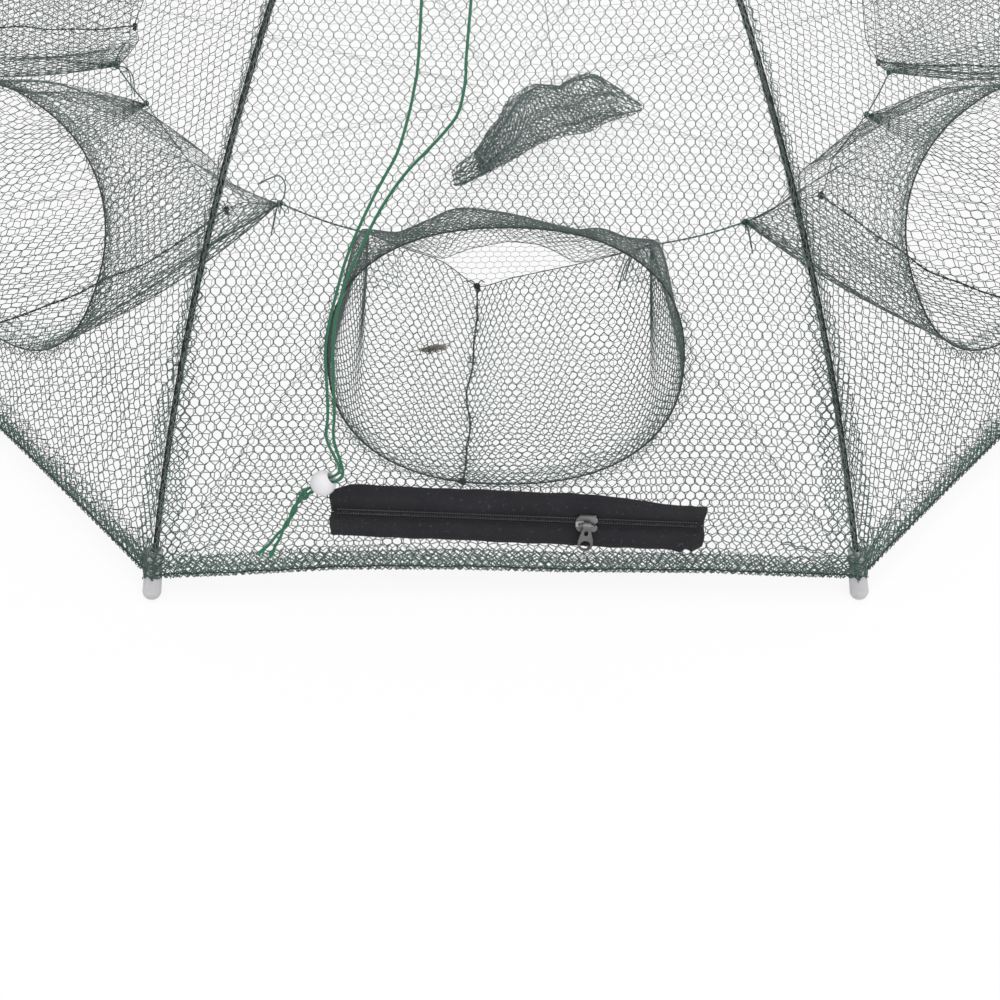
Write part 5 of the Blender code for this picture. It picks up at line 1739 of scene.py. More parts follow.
@dataclass
class RibAssembly:
    """A sprung rib: its wire with eye and lugs, the netting sleeve over it and its foot cap."""

    index: int
    eye: float = 0.0043
    eye_width: float = 0.004
    pin: float = 0.00165
    lug_at: float = 0.080
    lug_drop: float = 0.007
    lug_radius: float = 0.0035
    lug_gap: float = 0.002
    lug_thickness: float = 0.0014
    cap_radius: float = 0.0051
    cap_neck: float = 0.0043
    cap_length: float = 0.0245
    cap_lip: float = 0.0004
    sole: float = 0.003
    sleeve: float = 0.00185
    rod: float = 0.00158

    @cached_property
    def turn(self) -> float:
        """The rib's azimuth."""
        return FORM.rib_turn(self.index)

    def line(self, s: Array, off: Any = 0.0, aside: Any = 0.0) -> Array:
        """Return points along the rib, moved off it in its own plane and sideways."""
        radius, height, slope = FORM.rib(s)
        places = np.broadcast_arrays(radius + off * np.sin(slope), aside, height + off * np.cos(slope))
        return spin_about_z(np.stack(places, axis=1), self.turn)

    def wire(self) -> bpy.types.Object:
        """Return the rib's wire with its pivot eye, lugs and crimped collar."""
        name = f"rib_wire_{self.index + 1}"
        rod = Threads()
        rod.lay(self.line(np.concatenate([[0.0036], np.linspace(0.02, FORM.rib_length - 0.0002, 60)])),
                self.rod)
        rod.lay(self.line(np.linspace(self.lug_at - 0.0052, self.lug_at + 0.0052, 4)), FORM.rib_gauge / 2 + 0.0004)
        parts = [rod.spun(name, Paint.RIB, 14)]
        w, e = self.eye_width / 2, self.eye
        ring = [(self.pin, -w + 0.0003), (self.pin + 0.0003, -w), (e - 0.0004, -w), (e, -w + 0.0004),
                (e, w - 0.0004), (e - 0.0004, w), (self.pin + 0.0003, w), (self.pin, w - 0.0003)]
        spin = Matrix.Rotation(self.turn, 4, "Z")
        pivot = Matrix.Translation((FORM.pivot_radius, 0, FORM.pivot_height))
        parts.append(lathe(name + "_eye", ring, 28, spin @ pivot @ Matrix.Rotation(math.pi / 2, 4, "X"),
                           Paint.RIB, True))
        outline = [(self.lug_radius * 1.4, 0.001), (-self.lug_radius * 1.4, 0.001)]
        for i in range(13):
            a = math.pi + i * math.pi / 12
            outline.append((self.lug_radius * math.cos(a), self.lug_radius * math.sin(a) - self.lug_drop))
        lean = spin @ pivot @ Matrix.Rotation(FORM.crown_slope, 4, "Y") @ Matrix.Translation((self.lug_at, 0, 0))
        for side in (-1, 1):
            at = Matrix.Translation((0, side * (self.lug_gap + self.lug_thickness / 2), 0))
            parts.append(slab(f"{name}_lug_{side + 1}", outline, self.lug_thickness,
                              lean @ at @ Matrix.Rotation(math.pi / 2, 4, "X"), Paint.RIB, 0.00025))
        piece = fused(name, parts)
        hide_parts(f"rib_{self.index + 1}")
        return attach(piece, f"rib_{self.index + 1}") or piece

    def net_sleeve(self) -> bpy.types.Object:
        """Return the light netting that wraps the rib, three cells round it; its paler twine is a painted highlight.
        """
        threads = Threads()
        net = HexNet(2 * math.pi / 3, 0.0058, 0.0032)
        rows = range(int(0.092 / net.row), int((FORM.rib_length - self.cap_length - 0.006) / net.row))
        wave = Drift(700 + self.index, 0.06)

        def wrapped(flat: Array) -> Array:
            """Return flat points of the sleeve, in turns and metres, on the rib."""
            sway = wave.at(flat[:, 1], flat[:, 0] * 0.01)
            around = flat[:, 0] + 0.35 * sway
            reach = self.sleeve + 0.00012 * sway
            return self.line(flat[:, 1], reach * np.cos(around), reach * np.sin(around))

        for column in range(3):
            threads.lay(wrapped(net.zigzag(column, rows)), 0.00014)
        pairs = net.links(range(3), rows)
        threads.lay_many(wrapped(pairs.reshape(-1, 2)).reshape(-1, 2, 3), 0.00013)
        piece = threads.spun(f"net_sleeve_{self.index + 1}", Paint.SLEEVE_NET)
        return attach(piece, f"rib_{self.index + 1}") or piece

    def foot(self) -> bpy.types.Object:
        """Return the milky cap on the rib's foot, flat where it stands."""
        r, n, top, lip = self.cap_radius, self.cap_neck, self.cap_length, self.cap_lip
        end = -(FORM.tip_height - math.sqrt(r * r - self.sole ** 2)) / math.sin(FORM.tip_slope)
        bore = FORM.rib_gauge / 2 + FORM.clearance
        profile = [(0, -0.0003), (bore, -0.0003), (bore, top - 0.0004), (bore + 0.0004, top), (n - 0.0003, top),
                   (n, top - 0.0003), (n + lip * 0.8, top - lip * 0.6), (n + lip, top - lip),
                   (n + lip * 0.8, top - lip * 1.4), (n, top - 2 * lip)]
        profile += [(n + (r - n) * t, top - 2 * lip + (end - top + 2 * lip) * t) for t in (0.25, 0.5, 0.75, 1.0)]
        profile += [(r * math.cos(a), end - r * math.sin(a)) for a in np.linspace(0.15, math.pi / 2 - 0.12, 9)]
        profile.append((0, end - r))
        lean = Matrix.Rotation(FORM.tip_slope - math.pi / 2, 4, "Y")
        at = Matrix.Translation((FORM.tip_radius, 0, FORM.tip_height))
        piece = lathe(f"tip_cap_{self.index + 1}", profile, 32, Matrix.Rotation(self.turn, 4, "Z") @ at @ lean,
                      Paint.TIP)
        for vertex in piece.data.vertices:
            vertex.co.z = max(vertex.co.z, 0.0)
        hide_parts(f"rib_tip_{self.index + 1}")
        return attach(piece, f"rib_{self.index + 1}") or piece


@dataclass
class Crown:
    """The moulded cap over the crown, with the kept hub, pivot ring, stretchers and runner."""

    inner: float = 0.0383
    skirt: float = 0.0055
    flat: float = 0.021
    hole: float = 0.0036
    top: float = 0.0118
    under: float = 0.0083
    rim: float = -0.00065

    def build(self) -> bpy.types.Object:
        """Make the cap, dress the kept solids and return the cap."""
        outer = self.inner + self.skirt
        drop = self.top - self.rim - self.skirt / 3
        c = 0.0006
        profile = [(self.hole, self.under + c), (self.hole, self.top - c), (self.hole + c, self.top)]
        profile += [(self.flat + (outer - self.flat) * math.sin(a), self.top - drop * (1 - math.cos(a)))
                    for a in np.linspace(0, math.pi / 2, 14)]
        profile += [(outer, self.rim + c), (outer - c, self.rim), (self.inner + c, self.rim),
                    (self.inner, self.rim + c), (self.inner, self.under - 0.002), (self.inner - 0.002, self.under),
                    (self.hole + c, self.under)]
        piece = lathe("crown_dome", profile, 96, Matrix.Translation((0, 0, FORM.pivot_height)), Paint.CROWN, True)
        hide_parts("crown_cap")
        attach(piece, "crown")
        self.dress({"crown_hub": Paint.CROWN, "crown_ring": Paint.RING, "runner_hub": Paint.RUNNER})
        self.dress({f"stretcher_{k + 1}": Paint.STRETCHER for k in range(FORM.sides)})
        return piece

    def dress(self, paints: dict[str, Paint]) -> None:
        """Give kept solids their finishes."""
        for node, paint in paints.items():
            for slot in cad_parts[node].material_slots:
                slot.material = paint.material()


@dataclass
class Zip:
    """The zip on the front panel: woven tape, coil teeth with painted glints, stitches, slider with a painted
    highlight, and pull.
    """

    centre_x: float = 0.0065
    centre_s: float = 0.5875
    tilt: float = math.radians(-2.4)
    length: float = 0.201
    width: float = 0.032
    thickness: float = 0.0008
    tape_out: float = 0.0012
    coil_low: float = 0.0007
    coil_height: float = 0.002
    coil_width: float = 0.0026
    slider_at: float = 0.0365
    slider_length: float = 0.012
    slider_width: float = 0.0095
    plate: float = 0.0012
    end_bar: float = 0.004
    tooth_pitch: float = 0.00125

    @cached_property
    def frame_at(self) -> Matrix:
        """The zip's frame on the panel: X along it, Y up the panel and Z out of the net."""
        origin = Vector(FORM.on_panel(self.centre_x, self.centre_s))
        outward = (Vector(FORM.on_panel(self.centre_x, self.centre_s, 1.0)) - origin).normalized()
        along = Vector((1, 0, 0))
        flat = Matrix((along, outward.cross(along), outward)).transposed().to_4x4()
        turned = flat @ Matrix.Rotation(self.tilt, 4, "Z")
        return Matrix.Translation(origin) @ turned @ Matrix.Translation((0, 0, self.tape_out))

    def placed(self, points: Array) -> Array:
        """Return points given in the zip's frame as points in space."""
        at = np.array(self.frame_at)
        return points @ at[:3, :3].T + at[:3, 3]

    def ease(self, x: Array, y: Array) -> Array:
        """Return how far the tape lifts at a place: wavy long edges, a fold and a pucker at the right end."""
        edge = eased((np.abs(y) - 0.006) / 0.009)
        wave = 0.5 + 0.5 * np.sin(x * 95 + np.where(y > 0, 0.4, 2.1) + 0.8 * np.sin(x * 37))
        lift = 0.0009 * edge * wave + 0.00016 * np.sin(x * 410 + 60 * y) * edge
        fold = 0.0009 * eased((x - 0.0925) / 0.0012) * edge
        pinch = 0.0007 * np.exp(-((x + 0.097) / 0.0022) ** 2) * edge
        pucker = 0.0026 * np.exp(-((x - 0.0895) / 0.0035) ** 2 - ((y + 0.0125) / 0.0040) ** 2)
        return lift + fold + pinch + pucker

    def edge(self, x: Array, side: int) -> Array:
        """Return how far the cloth reaches up or down from the teeth, gathered in at both ends."""
        upper = ((-0.1005, 12.2), (-0.0965, 13.6), (-0.089, 16.0), (0.03, 15.7), (0.055, 14.4), (0.075, 12.2),
                 (0.086, 11.0), (0.0925, 11.4), (0.1005, 11.2))
        lower = ((-0.1005, 12.8), (-0.09, 13.2), (0.0, 13.6), (0.05, 14.0), (0.082, 14.2), (0.0875, 15.4),
                 (0.0905, 12.6), (0.0945, 14.8), (0.1005, 11.6))
        places, reach = zip(*(upper if side > 0 else lower))
        return np.interp(x, places, reach) * 0.001 + 0.00012 * np.sin(x * 300 + side)

    def tape(self) -> bpy.types.Object:
        """Return the two woven tapes with their stitches."""
        mesh = bmesh.new()
        uv = mesh.loops.layers.uv.new("UVMap")
        columns, rows = 160, 12
        for side in (-1, 1):
            x = np.linspace(-self.length / 2, self.length / 2, columns)
            y = np.linspace(0.0, 1.0, rows)
            grid_x = np.repeat(x[:, None], rows, axis=1)
            grid_y = side * (0.0002 + (self.edge(x, side) - 0.0002)[:, None] * y[None, :])
            end = eased((np.abs(grid_x) - self.length / 2 + 0.010) / 0.010)
            grid_x = grid_x - np.sign(grid_x) * end * (0.0011 * (0.5 + 0.5 * np.sin(grid_y * 420 + 1.0)))
            middle = self.ease(grid_x, grid_y)
            grids = []
            for face in (1, -1):
                points = np.stack([grid_x, grid_y, middle + face * self.thickness / 2], axis=-1)
                points = self.placed(points.reshape(-1, 3)).reshape(points.shape)
                grids.append([[mesh.verts.new(p) for p in row] for row in points])
            front, back = grids
            quads = []
            for i in range(columns - 1):
                for j in range(rows - 1):
                    for grid in (front, back):
                        quads.append(([grid[i][j], grid[i + 1][j], grid[i + 1][j + 1], grid[i][j + 1]],
                                      [(i, j), (i + 1, j), (i + 1, j + 1), (i, j + 1)]))
                for j in (0, rows - 1):
                    quads.append(([front[i][j], front[i + 1][j], back[i + 1][j], back[i][j]],
                                  [(i, j), (i + 1, j), (i + 1, j), (i, j)]))
            for j in range(rows - 1):
                for i in (0, columns - 1):
                    quads.append(([front[i][j], front[i][j + 1], back[i][j + 1], back[i][j]],
                                  [(i, j), (i, j + 1), (i, j + 1), (i, j)]))
            for corners, places in quads:
                made = mesh.faces.new(corners)
                for loop, (i, j) in zip(made.loops, places):
                    loop[uv].uv = (float(x[i]), float(side * y[j] * self.width / 2))
        bmesh.ops.recalc_face_normals(mesh, faces=mesh.faces)
        piece = smoothed("zip_cloth", mesh, 60, Paint.TAPE.material())
        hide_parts("zip_tape")
        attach(piece, "panel_1")
        return piece

    def instanced(self, name: str, points: Array, size: Colour, paint: Paint,
                  segments: int = 8) -> bpy.types.Object:
        """Return small bodies set at points of the zip's frame and lying along it.

        Args:
            name: The piece's name.
            points: Places in the zip's frame.
            size: Half sizes along, across and out.
            paint: Their finish.
            segments: Steps round each.

        Returns:
            The piece.
        """
        mesh = bpy.data.meshes.new(name)
        placed = self.placed(points)
        mesh.vertices.add(len(placed))
        mesh.vertices.foreach_set("co", placed.ravel())
        turn = mesh.attributes.new("turn", "FLOAT_VECTOR", "POINT")
        turn.data.foreach_set("vector", np.tile(tuple(self.frame_at.to_euler()), len(placed)).astype(np.float32))
        made = BODIES.run(new_object(name, mesh), Size=size, Segments=segments, Finish=paint.material())
        return without(made, "turn")

    def stitches(self) -> bpy.types.Object:
        """Return two rows of stitches that hold the tape on the net, and two rows of pale dots on the coil's top
        that are painted glints on the teeth ends.
        """
        rows, glint_rows = [], []
        for side in (-1, 1):
            x = np.arange(-self.length / 2 + 0.004, self.length / 2 - 0.004, 0.0026)
            y = side * (self.edge(x, side) - 0.0022) + 0.0002 * np.sin(x * 170)
            rows.append(np.stack([x, y, self.ease(x, y) + self.thickness / 2 + 0.00005], axis=1))
            # Pale dots along the top of the coil: painted glints on the teeth ends
            x = np.arange(-self.length / 2 + 0.005, self.length / 2 - 0.005, 0.00135)
            y = 0.00145 + side * 0.00115 + 0 * x
            glint_rows.append(np.stack([x, y, 0 * x + self.coil_low + self.coil_height - 0.0001], axis=1))
        outer = self.instanced("zip_stitches", np.concatenate(rows), (0.0009, 0.00018, 0.00016), Paint.COIL, 6)
        inner = self.instanced("coil_painted_glints", np.concatenate(glint_rows), (0.00033, 0.00036, 0.0003), Paint.COIL_GLINT, 6)
        piece = fused("zip_stitches", [outer, inner])
        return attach(piece, "panel_1") or piece

    def coil(self) -> bpy.types.Object:
        """Return the meshed coil teeth, with their cords and end stops."""
        stop = self.length / 2 - self.end_bar
        x = np.arange(-stop, stop, self.tooth_pitch)
        level = self.coil_low + self.coil_height / 2
        near = self.coil_width / 2
        teeth = []
        for side in (-1, 1):
            shift = 0.0 if side > 0 else self.tooth_pitch / 2
            teeth.append(np.stack([x + shift, side * near + 0 * x, level + 0 * x], axis=1))
        rows = self.instanced("coil_teeth", np.concatenate(teeth),
                              (self.tooth_pitch * 0.34, self.coil_width / 2 + 0.0003, self.coil_height / 2),
                              Paint.COIL)
        cords = Threads()
        for side in (-1, 1):
            line = np.array([(t, side * near, level) for t in np.linspace(-stop, stop, 30)])
            cords.lay(self.placed(line), 0.00062)
            for offset in (-0.0008, 0.0, 0.0008):
                end = np.array([(side * (stop + offset), y, level) for y in (-0.0030, -0.001, 0.001, 0.0030)])
                cords.lay(self.placed(end), 0.0006)
        piece = fused("zip_coil_teeth", [rows, cords.spun("coil_cords", Paint.COIL, 6)])
        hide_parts("zip_coil")
        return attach(piece, "panel_1") or piece

    def slider(self) -> bpy.types.Object:
        """Return the slider: two rounded plates, flanges, post, the bridge of the pull and a paler plate on its
        nose, which is a painted highlight.
        """
        half, w = self.slider_length / 2, self.slider_width / 2
        front = self.coil_low + self.coil_height + 0.0003
        back = -self.thickness / 2 - 0.0003
        nose = [(-half + 0.0030 - 0.0030 * math.cos(a), w * 0.96 * math.sin(a)) for a in
                np.linspace(math.pi / 2, -math.pi / 2, 11)]
        tail = [(half - 0.0012, -w * 0.86), (half, -w * 0.62), (half, -0.0014), (half - 0.0016, 0.0),
                (half, 0.0014), (half, w * 0.62), (half - 0.0012, w * 0.86)]
        outline = [(x, -y) for x, y in reversed(nose + tail)]
        at = self.frame_at @ Matrix.Translation((self.slider_at, 0, 0))
        # A small plate of paler zinc on the slider's nose: painted highlight
        tip = [(-half + 0.0002, -0.0013), (-half + 0.0045, -0.0018), (-half + 0.0045, 0.0018),
               (-half + 0.0002, 0.0013)]
        plates = (("slider_top", outline, self.plate, front + self.plate / 2, Paint.GUNMETAL, 0.0003),
                  ("slider_sole", outline, self.plate, back - self.plate / 2, Paint.GUNMETAL, 0.0003),
                  ("slider_nose_painted_highlight", tip, 0.0007, front + self.plate + 0.00025, Paint.STRETCHER, 0.00022))
        parts = [slab(name, shape, thickness, at @ Matrix.Translation((0, 0, level)), paint, bevel, 3)
                 for name, shape, thickness, level, paint, bevel in plates]
        depth = front - self.coil_low
        for side in (-1, 1):
            rail = [(-half * 0.62, side * (w - 0.0010)), (half * 0.85, side * (w - 0.0010)),
                    (half * 0.85, side * (w - 0.0001)), (-half * 0.62, side * (w - 0.0001))]
            parts.append(slab(f"slider_flange_{side + 1}", rail[::side], depth + 0.0004,
                              at @ Matrix.Translation((0, 0, self.coil_low + depth / 2 + 0.0002)),
                              Paint.GUNMETAL, 0.0002))
        bridge = Threads()
        rise = front + self.plate + 0.0026
        arch = curved([(0, -0.0038, front + 0.0006), (0, -0.0038, rise - 0.0010), (0, -0.0031, rise),
                       (0, 0.0, rise), (0, 0.0031, rise), (0, 0.0038, rise - 0.0010),
                       (0, 0.0038, front + 0.0006)], 3)
        swap = np.stack([arch[:, 1] + self.slider_at, arch[:, 0], arch[:, 2]], axis=1)
        bridge.lay(self.placed(swap), 0.0007)
        parts.append(bridge.spun("slider_bridge", Paint.GUNMETAL, 12))
        piece = fused("zip_slider_body", parts)
        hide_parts("zip_slider")
        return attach(piece, "zip_slider") or piece

    def build(self) -> list[bpy.types.Object]:
        """Make the whole zip and return its pieces."""
        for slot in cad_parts["zip_pull"].material_slots:
            slot.material = Paint.GUNMETAL.material()
        return [self.tape(), self.stitches(), self.coil(), self.slider()]


@dataclass
class DrawCord:
    """The doubled green pull cord from the crown to its white bead, knot and frayed tails."""

    diameter: float = 0.0016
    gap: float = 0.003
    socket_foot: float = 0.390808
    over: float = 0.404808
    bead_radius: float = 0.0068
    bead_bore: float = 0.0032
    bead_run: float = 0.0124
    bead_at: Colour = (-0.0955, 0.5644, 0.0085)
    knot_at: Colour = (-0.1066, 0.5720, 0.0050)

    @cached_property
    def routes(self) -> list[list[Colour]]:
        """Both strands' ways over the front panel: x, s and height above the net."""
        left = [(-0.021, 0.060, 0.0035), (-0.031, 0.150, 0.003), (-0.039, 0.250, 0.003),
                (-0.0434, 0.341, 0.003), (-0.0461, 0.362, 0.003), (-0.0494, 0.377, 0.003),
                (-0.0544, 0.393, 0.003), (-0.0606, 0.4046, 0.003), (-0.0668, 0.416, 0.003),
                (-0.0746, 0.4321, 0.003), (-0.0813, 0.4484, 0.0032), (-0.0857, 0.4631, 0.0034),
                (-0.0898, 0.4784, 0.0036), (-0.0922, 0.4915, 0.0038), (-0.0926, 0.503, 0.0038),
                (-0.0923, 0.516, 0.0036), (-0.0924, 0.529, 0.0036), (-0.0932, 0.542, 0.0045)]
        right = [(0.004, 0.060, 0.0035), (-0.004, 0.150, 0.003), (-0.012, 0.250, 0.003),
                 (-0.0195, 0.341, 0.003), (-0.0199, 0.3515, 0.003), (-0.0212, 0.3625, 0.003),
                 (-0.0242, 0.3735, 0.003), (-0.0304, 0.3822, 0.003), (-0.0394, 0.392, 0.003),
                 (-0.0491, 0.4021, 0.003), (-0.0578, 0.4135, 0.003), (-0.0658, 0.4265, 0.003),
                 (-0.0730, 0.441, 0.0032), (-0.0800, 0.4555, 0.0034), (-0.0843, 0.4684, 0.0036),
                 (-0.0870, 0.4784, 0.0038), (-0.0884, 0.4905, 0.0040), (-0.0888, 0.503, 0.0038),
                 (-0.0889, 0.516, 0.0036), (-0.0890, 0.529, 0.0036), (-0.0896, 0.542, 0.0045)]
        return [left, right]

    @cached_property
    def tails(self) -> list[list[Colour]]:
        """The two cut ends beyond the knot."""
        return [[(-0.1118, 0.5765, 0.0026), (-0.1170, 0.5870, 0.0022), (-0.1245, 0.5985, 0.0019),
                 (-0.1335, 0.6090, 0.0019)],
                [(-0.1090, 0.5790, 0.0026), (-0.1145, 0.5895, 0.0022), (-0.1212, 0.6000, 0.0019),
                 (-0.1275, 0.6110, 0.0019)]]

    @cached_property
    def ends(self) -> tuple[Array, Array, Array, Array]:
        """The bead's and the knot's centres, the way between them and the way across."""
        bead, knot = FORM.on_panel(*self.bead_at), FORM.on_panel(*self.knot_at)
        way = (knot - bead) / np.linalg.norm(knot - bead)
        outward = FORM.on_panel(*self.bead_at[:2], 1.0) - FORM.on_panel(*self.bead_at[:2])
        side = np.cross(way, outward)
        return bead, knot, way, side / np.linalg.norm(side)

    def strand(self, number: int) -> bpy.types.Object:
        """Return one strand, from the cap's hole to the knot."""
        sign = (-1, 1)[number]
        bead, knot, way, side = self.ends
        half = self.gap / 2
        x = sign * half
        points = [(x, 0, self.over - 0.001), (x * 1.2, -0.006, self.over + 0.0045),
                  (x * 1.6, -0.020, self.over + 0.0035), (x * 2.0, -0.034, self.over + 0.0012),
                  (x * 2.4, -0.0455, self.over - 0.0070)]
        points += [tuple(FORM.on_panel(*place)) for place in self.routes[number]]
        points += [tuple(bead - self.bead_run * way - sign * half * side), tuple(bead - sign * half * side),
                   tuple(knot - sign * half * side * 0.8)]
        path = curved(points, 8)
        name = ("pull_cord_left", "pull_cord_right")[number]
        piece = rope(name, path, self.diameter / 2, 10, Paint.CORD)
        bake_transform(piece)
        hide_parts("pull_cord")
        return piece

    def roots(self) -> bpy.types.Object:
        """Return the two short ends inside the crown, down to the runner's stem."""
        parts = []
        for sign in (-1, 1):
            x = sign * self.gap / 2
            line = np.array([(x, 0.0, z) for z in np.linspace(self.socket_foot, self.over - 0.0008, 8)])
            parts.append(rope(f"cord_root_{sign + 1}", line, self.diameter / 2 * 0.97, 10, Paint.CORD))
        piece = fused("pull_cord_roots", parts)
        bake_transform(piece)
        return piece

    def bead(self) -> bpy.types.Object:
        """Return the white bead."""
        r, low = self.bead_radius, math.asin(self.bead_bore / self.bead_radius)
        profile = [(r * math.sin(a), r * math.cos(a)) for a in np.linspace(low + 0.03, math.pi - low - 0.03, 22)]
        inner = self.bead_bore - 0.0002
        deep = r * math.cos(low) - 0.0004
        profile += [(inner, -deep), (inner, deep)]
        bead, _, way, _ = self.ends
        facing = Vector(way).to_track_quat("Z", "Y").to_matrix().to_4x4()
        piece = lathe("pull_bead_round", profile, 48, Matrix.Translation(Vector(bead)) @ facing, Paint.BEAD, True)
        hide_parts("pull_bead")
        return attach(piece, "panel_1") or piece

    def knot(self) -> bpy.types.Object:
        """Return the overhand knot with both tails and their frayed ends."""
        _, knot, way, side = self.ends
        up = np.cross(side, way)
        a = np.linspace(0, 2 * math.pi, 61)
        tangle = np.stack([np.sin(a) + 2 * np.sin(2 * a), np.cos(a) - 2 * np.cos(2 * a),
                           -1.2 * np.sin(3 * a)], axis=1)
        tangle *= 0.00082
        parts = [rope("knot_turns", knot + tangle @ np.stack([way, side, up]), self.diameter / 2 * 1.05, 10,
                      Paint.CORD)]
        fibres = Threads()
        draw = np.random.default_rng(12)
        lines = [curved([tuple(knot)] + [tuple(FORM.on_panel(*place)) for place in tail], 6)
                 for tail in self.tails]
        middle = (lines[0] + lines[1]) / 2
        along = np.linspace(0, 1, len(middle))
        apart = eased((along - 0.55) / 0.45)[:, None]
        wind = 5.5 * math.pi * along
        for number, line in enumerate(lines):
            phase = wind + number * math.pi
            coil = (np.outer(np.cos(phase), side) + np.outer(0.6 * np.sin(phase), up)) * self.diameter * 0.55
            line = middle + coil * (1 - apart) + (line - middle) * (apart + 0.12 * along[:, None])
            parts.append(rope(f"tail_{number}", line[:-3], self.diameter / 2, 10, Paint.CORD))
            start, end = line[-5], line[-1]
            run = end - start
            across = np.cross(run, up)
            across /= np.linalg.norm(across)
            for _ in range(26):
                spread, lift = draw.normal(0, 0.0013), abs(draw.normal(0, 0.0005))
                reach = draw.uniform(0.7, 1.05)
                share = np.array([0.0, 0.35, 0.7, 1.0])
                root = draw.normal(0, 0.0004)
                bow = np.outer(share * reach, run) + np.outer(root + (spread - root) * share ** 2, across)
                fibres.lay(start + bow + np.outer(lift * share, up), 0.00014)
        parts.append(fibres.spun("frayed_fibres", Paint.FRAYED, 3))
        piece = fused("pull_cord_knot", parts)
        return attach(piece, "panel_1") or piece

    def build(self) -> list[bpy.types.Object]:
        """Make the cord and return its pieces."""
        return [self.strand(0), self.strand(1), self.roots(), self.bead(), self.knot()]


@dataclass
class BaitBag:
    """The pouch of fine netting that hangs slack from the runner and lies on the floor."""

    base: float = 0.0130
    hang: float = 0.3019
    gauge: float = 0.00026
    columns: int = 58
    rows: int = 26
    thickness: float = 0.0075

    @cached_property
    def outline(self) -> tuple[Array, Array]:
        """The pouch's near edge on the floor and its far, raised edge, from its tail to its blunt end."""
        near = [(-0.0352, -0.1195), (-0.0275, -0.1183), (-0.0142, -0.1067), (-0.0021, -0.0950), (0.0108, -0.0831),
                (0.0218, -0.0709), (0.0306, -0.0648), (0.0454, -0.0574), (0.0602, -0.0536), (0.0700, -0.0474),
                (0.0851, -0.0398), (0.0965, -0.0347), (0.1030, -0.0257)]
        far = [(-0.0375, -0.1071, 0.016), (-0.0320, -0.0991, 0.017), (-0.0200, -0.0879, 0.020),
               (-0.0109, -0.0654, 0.023), (-0.0036, -0.0549, 0.026), (0.0015, -0.0392, 0.029),
               (0.0111, -0.0268, 0.031), (0.0222, -0.0179, 0.032), (0.0384, -0.0218, 0.032),
               (0.0461, -0.0137, 0.031), (0.0638, -0.0011, 0.028), (0.0803, -0.0066, 0.023),
               (0.1028, -0.0250, 0.017)]
        return curved([(*p, self.base + 0.0008) for p in near], 6), curved(far, 6)

    def surface(self, a: Array, b: Array, layer: int = 0) -> Array:
        """Return points of the pouch.

        Args:
            a: From 0 at its tail to 1 at its blunt end.
            b: Turns round it, from 0 to 1.
            layer: Which of its layers.

        Returns:
            Points in space.
        """
        a, b = np.broadcast_arrays(np.asarray(a, float), np.asarray(b, float))
        near, far = self.outline
        places = np.linspace(0, 1, len(near))
        low = np.stack([np.interp(a, places, near[:, i]) for i in range(3)], axis=-1)
        high = np.stack([np.interp(a, places, far[:, i]) for i in range(3)], axis=-1)
        around = 2 * math.pi * b
        crease = 1 + 0.10 * np.sin(3 * around + 9 * a) + 0.07 * np.sin(5 * around - 13 * a + 1.0)
        crease -= (0.05 + 0.08 * np.sin(11 * a + 2) ** 2) * layer
        even = np.arcsin(0.985 * np.cos(around)) / math.asin(0.985)
        reach = (high - low) / 2 * (even * np.clip(crease, 0.8, 1.04))[..., None]
        points = (low + high) / 2 + reach
        fold = 0.0022 * np.sin(26 * b * (1 + 0.1 * a) + 6 * a) * (1 - np.abs(2 * a - 1) ** 3)
        body = np.interp(a, [0, 0.15, 0.45, 0.85, 1.0], [0.25, 0.6, 1.0, 0.8, 0.2])
        points[..., 2] += self.thickness * body * np.sin(around) * crease + fold * (np.sin(around) > 0)
        points[..., 2] = np.maximum(points[..., 2], self.base)
        return points

    def kept(self, row: Array, a: Array) -> Array:
        """Return which places of its rows are netted: fewer rows where the pouch is narrow."""
        start = np.where(row % 2, 0.15, np.where(row % 4, 0.05, 0.0))
        stop = np.where(row % 2, 0.87, np.where(row % 4, 0.95, 1.0))
        return (a >= start) & (a <= stop)

    def build(self) -> bpy.types.Object:
        """Make the bag and return its piece."""
        threads, cord = Threads(), Threads()
        net = RoundNet(self.rows, self.columns)
        row, _ = crossings(range(self.rows), range(self.columns))
        for layer in range(2):
            for number, (b, a) in enumerate(net.threads(0.3 * layer)):
                kept = self.kept(number, a)
                threads.lay(self.surface(a[kept], b[kept], layer), self.gauge * 1.2)
            b, a = net.links(0.3 * layer)
            kept = self.kept(row, a[:, 0]) & self.kept(row + 1, a[:, 1])
            threads.lay_many(self.surface(a[kept], b[kept], layer), self.gauge)
        for level in np.linspace(0.04, 0.96, 12):
            a = np.linspace(0.16, 0.88, 60)
            sway = level + 0.02 * Drift(840 + int(100 * level), 0.4).along(a)
            threads.lay(self.surface(a, sway, 0), self.gauge * 1.2)
        round_it = np.linspace(0, 1, 41)
        for level in (0.012, 0.035, 0.06, 0.09, 0.125, 0.165, 0.86, 0.90, 0.935, 0.965, 0.985):
            a = level + 0.009 * beating(41) * min(1.0, 14 * min(level, 1 - level))
            threads.lay(self.surface(a, round_it, 0), self.gauge)
        foot = self.surface(np.array([0.66]), np.array([0.02]))[0]
        top = np.array([0.0, 0.0, self.hang])
        cord.lay(foot + (top - foot) * np.linspace(0, 1, 24)[:, None], 0.00025)
        cord.lay(wound_knot(foot, 0.0009, 5), 0.00028)
        # The bag's cord uses the sleeve's paler twine, whose pale shade is painted highlight
        piece = fused("bag_net", [threads.spun("bag_net", Paint.BAG_NET),
                                  cord.spun("bag_cord", Paint.SLEEVE_NET, 5)])
        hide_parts("bait_bag")
        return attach(piece, "runner") or piece


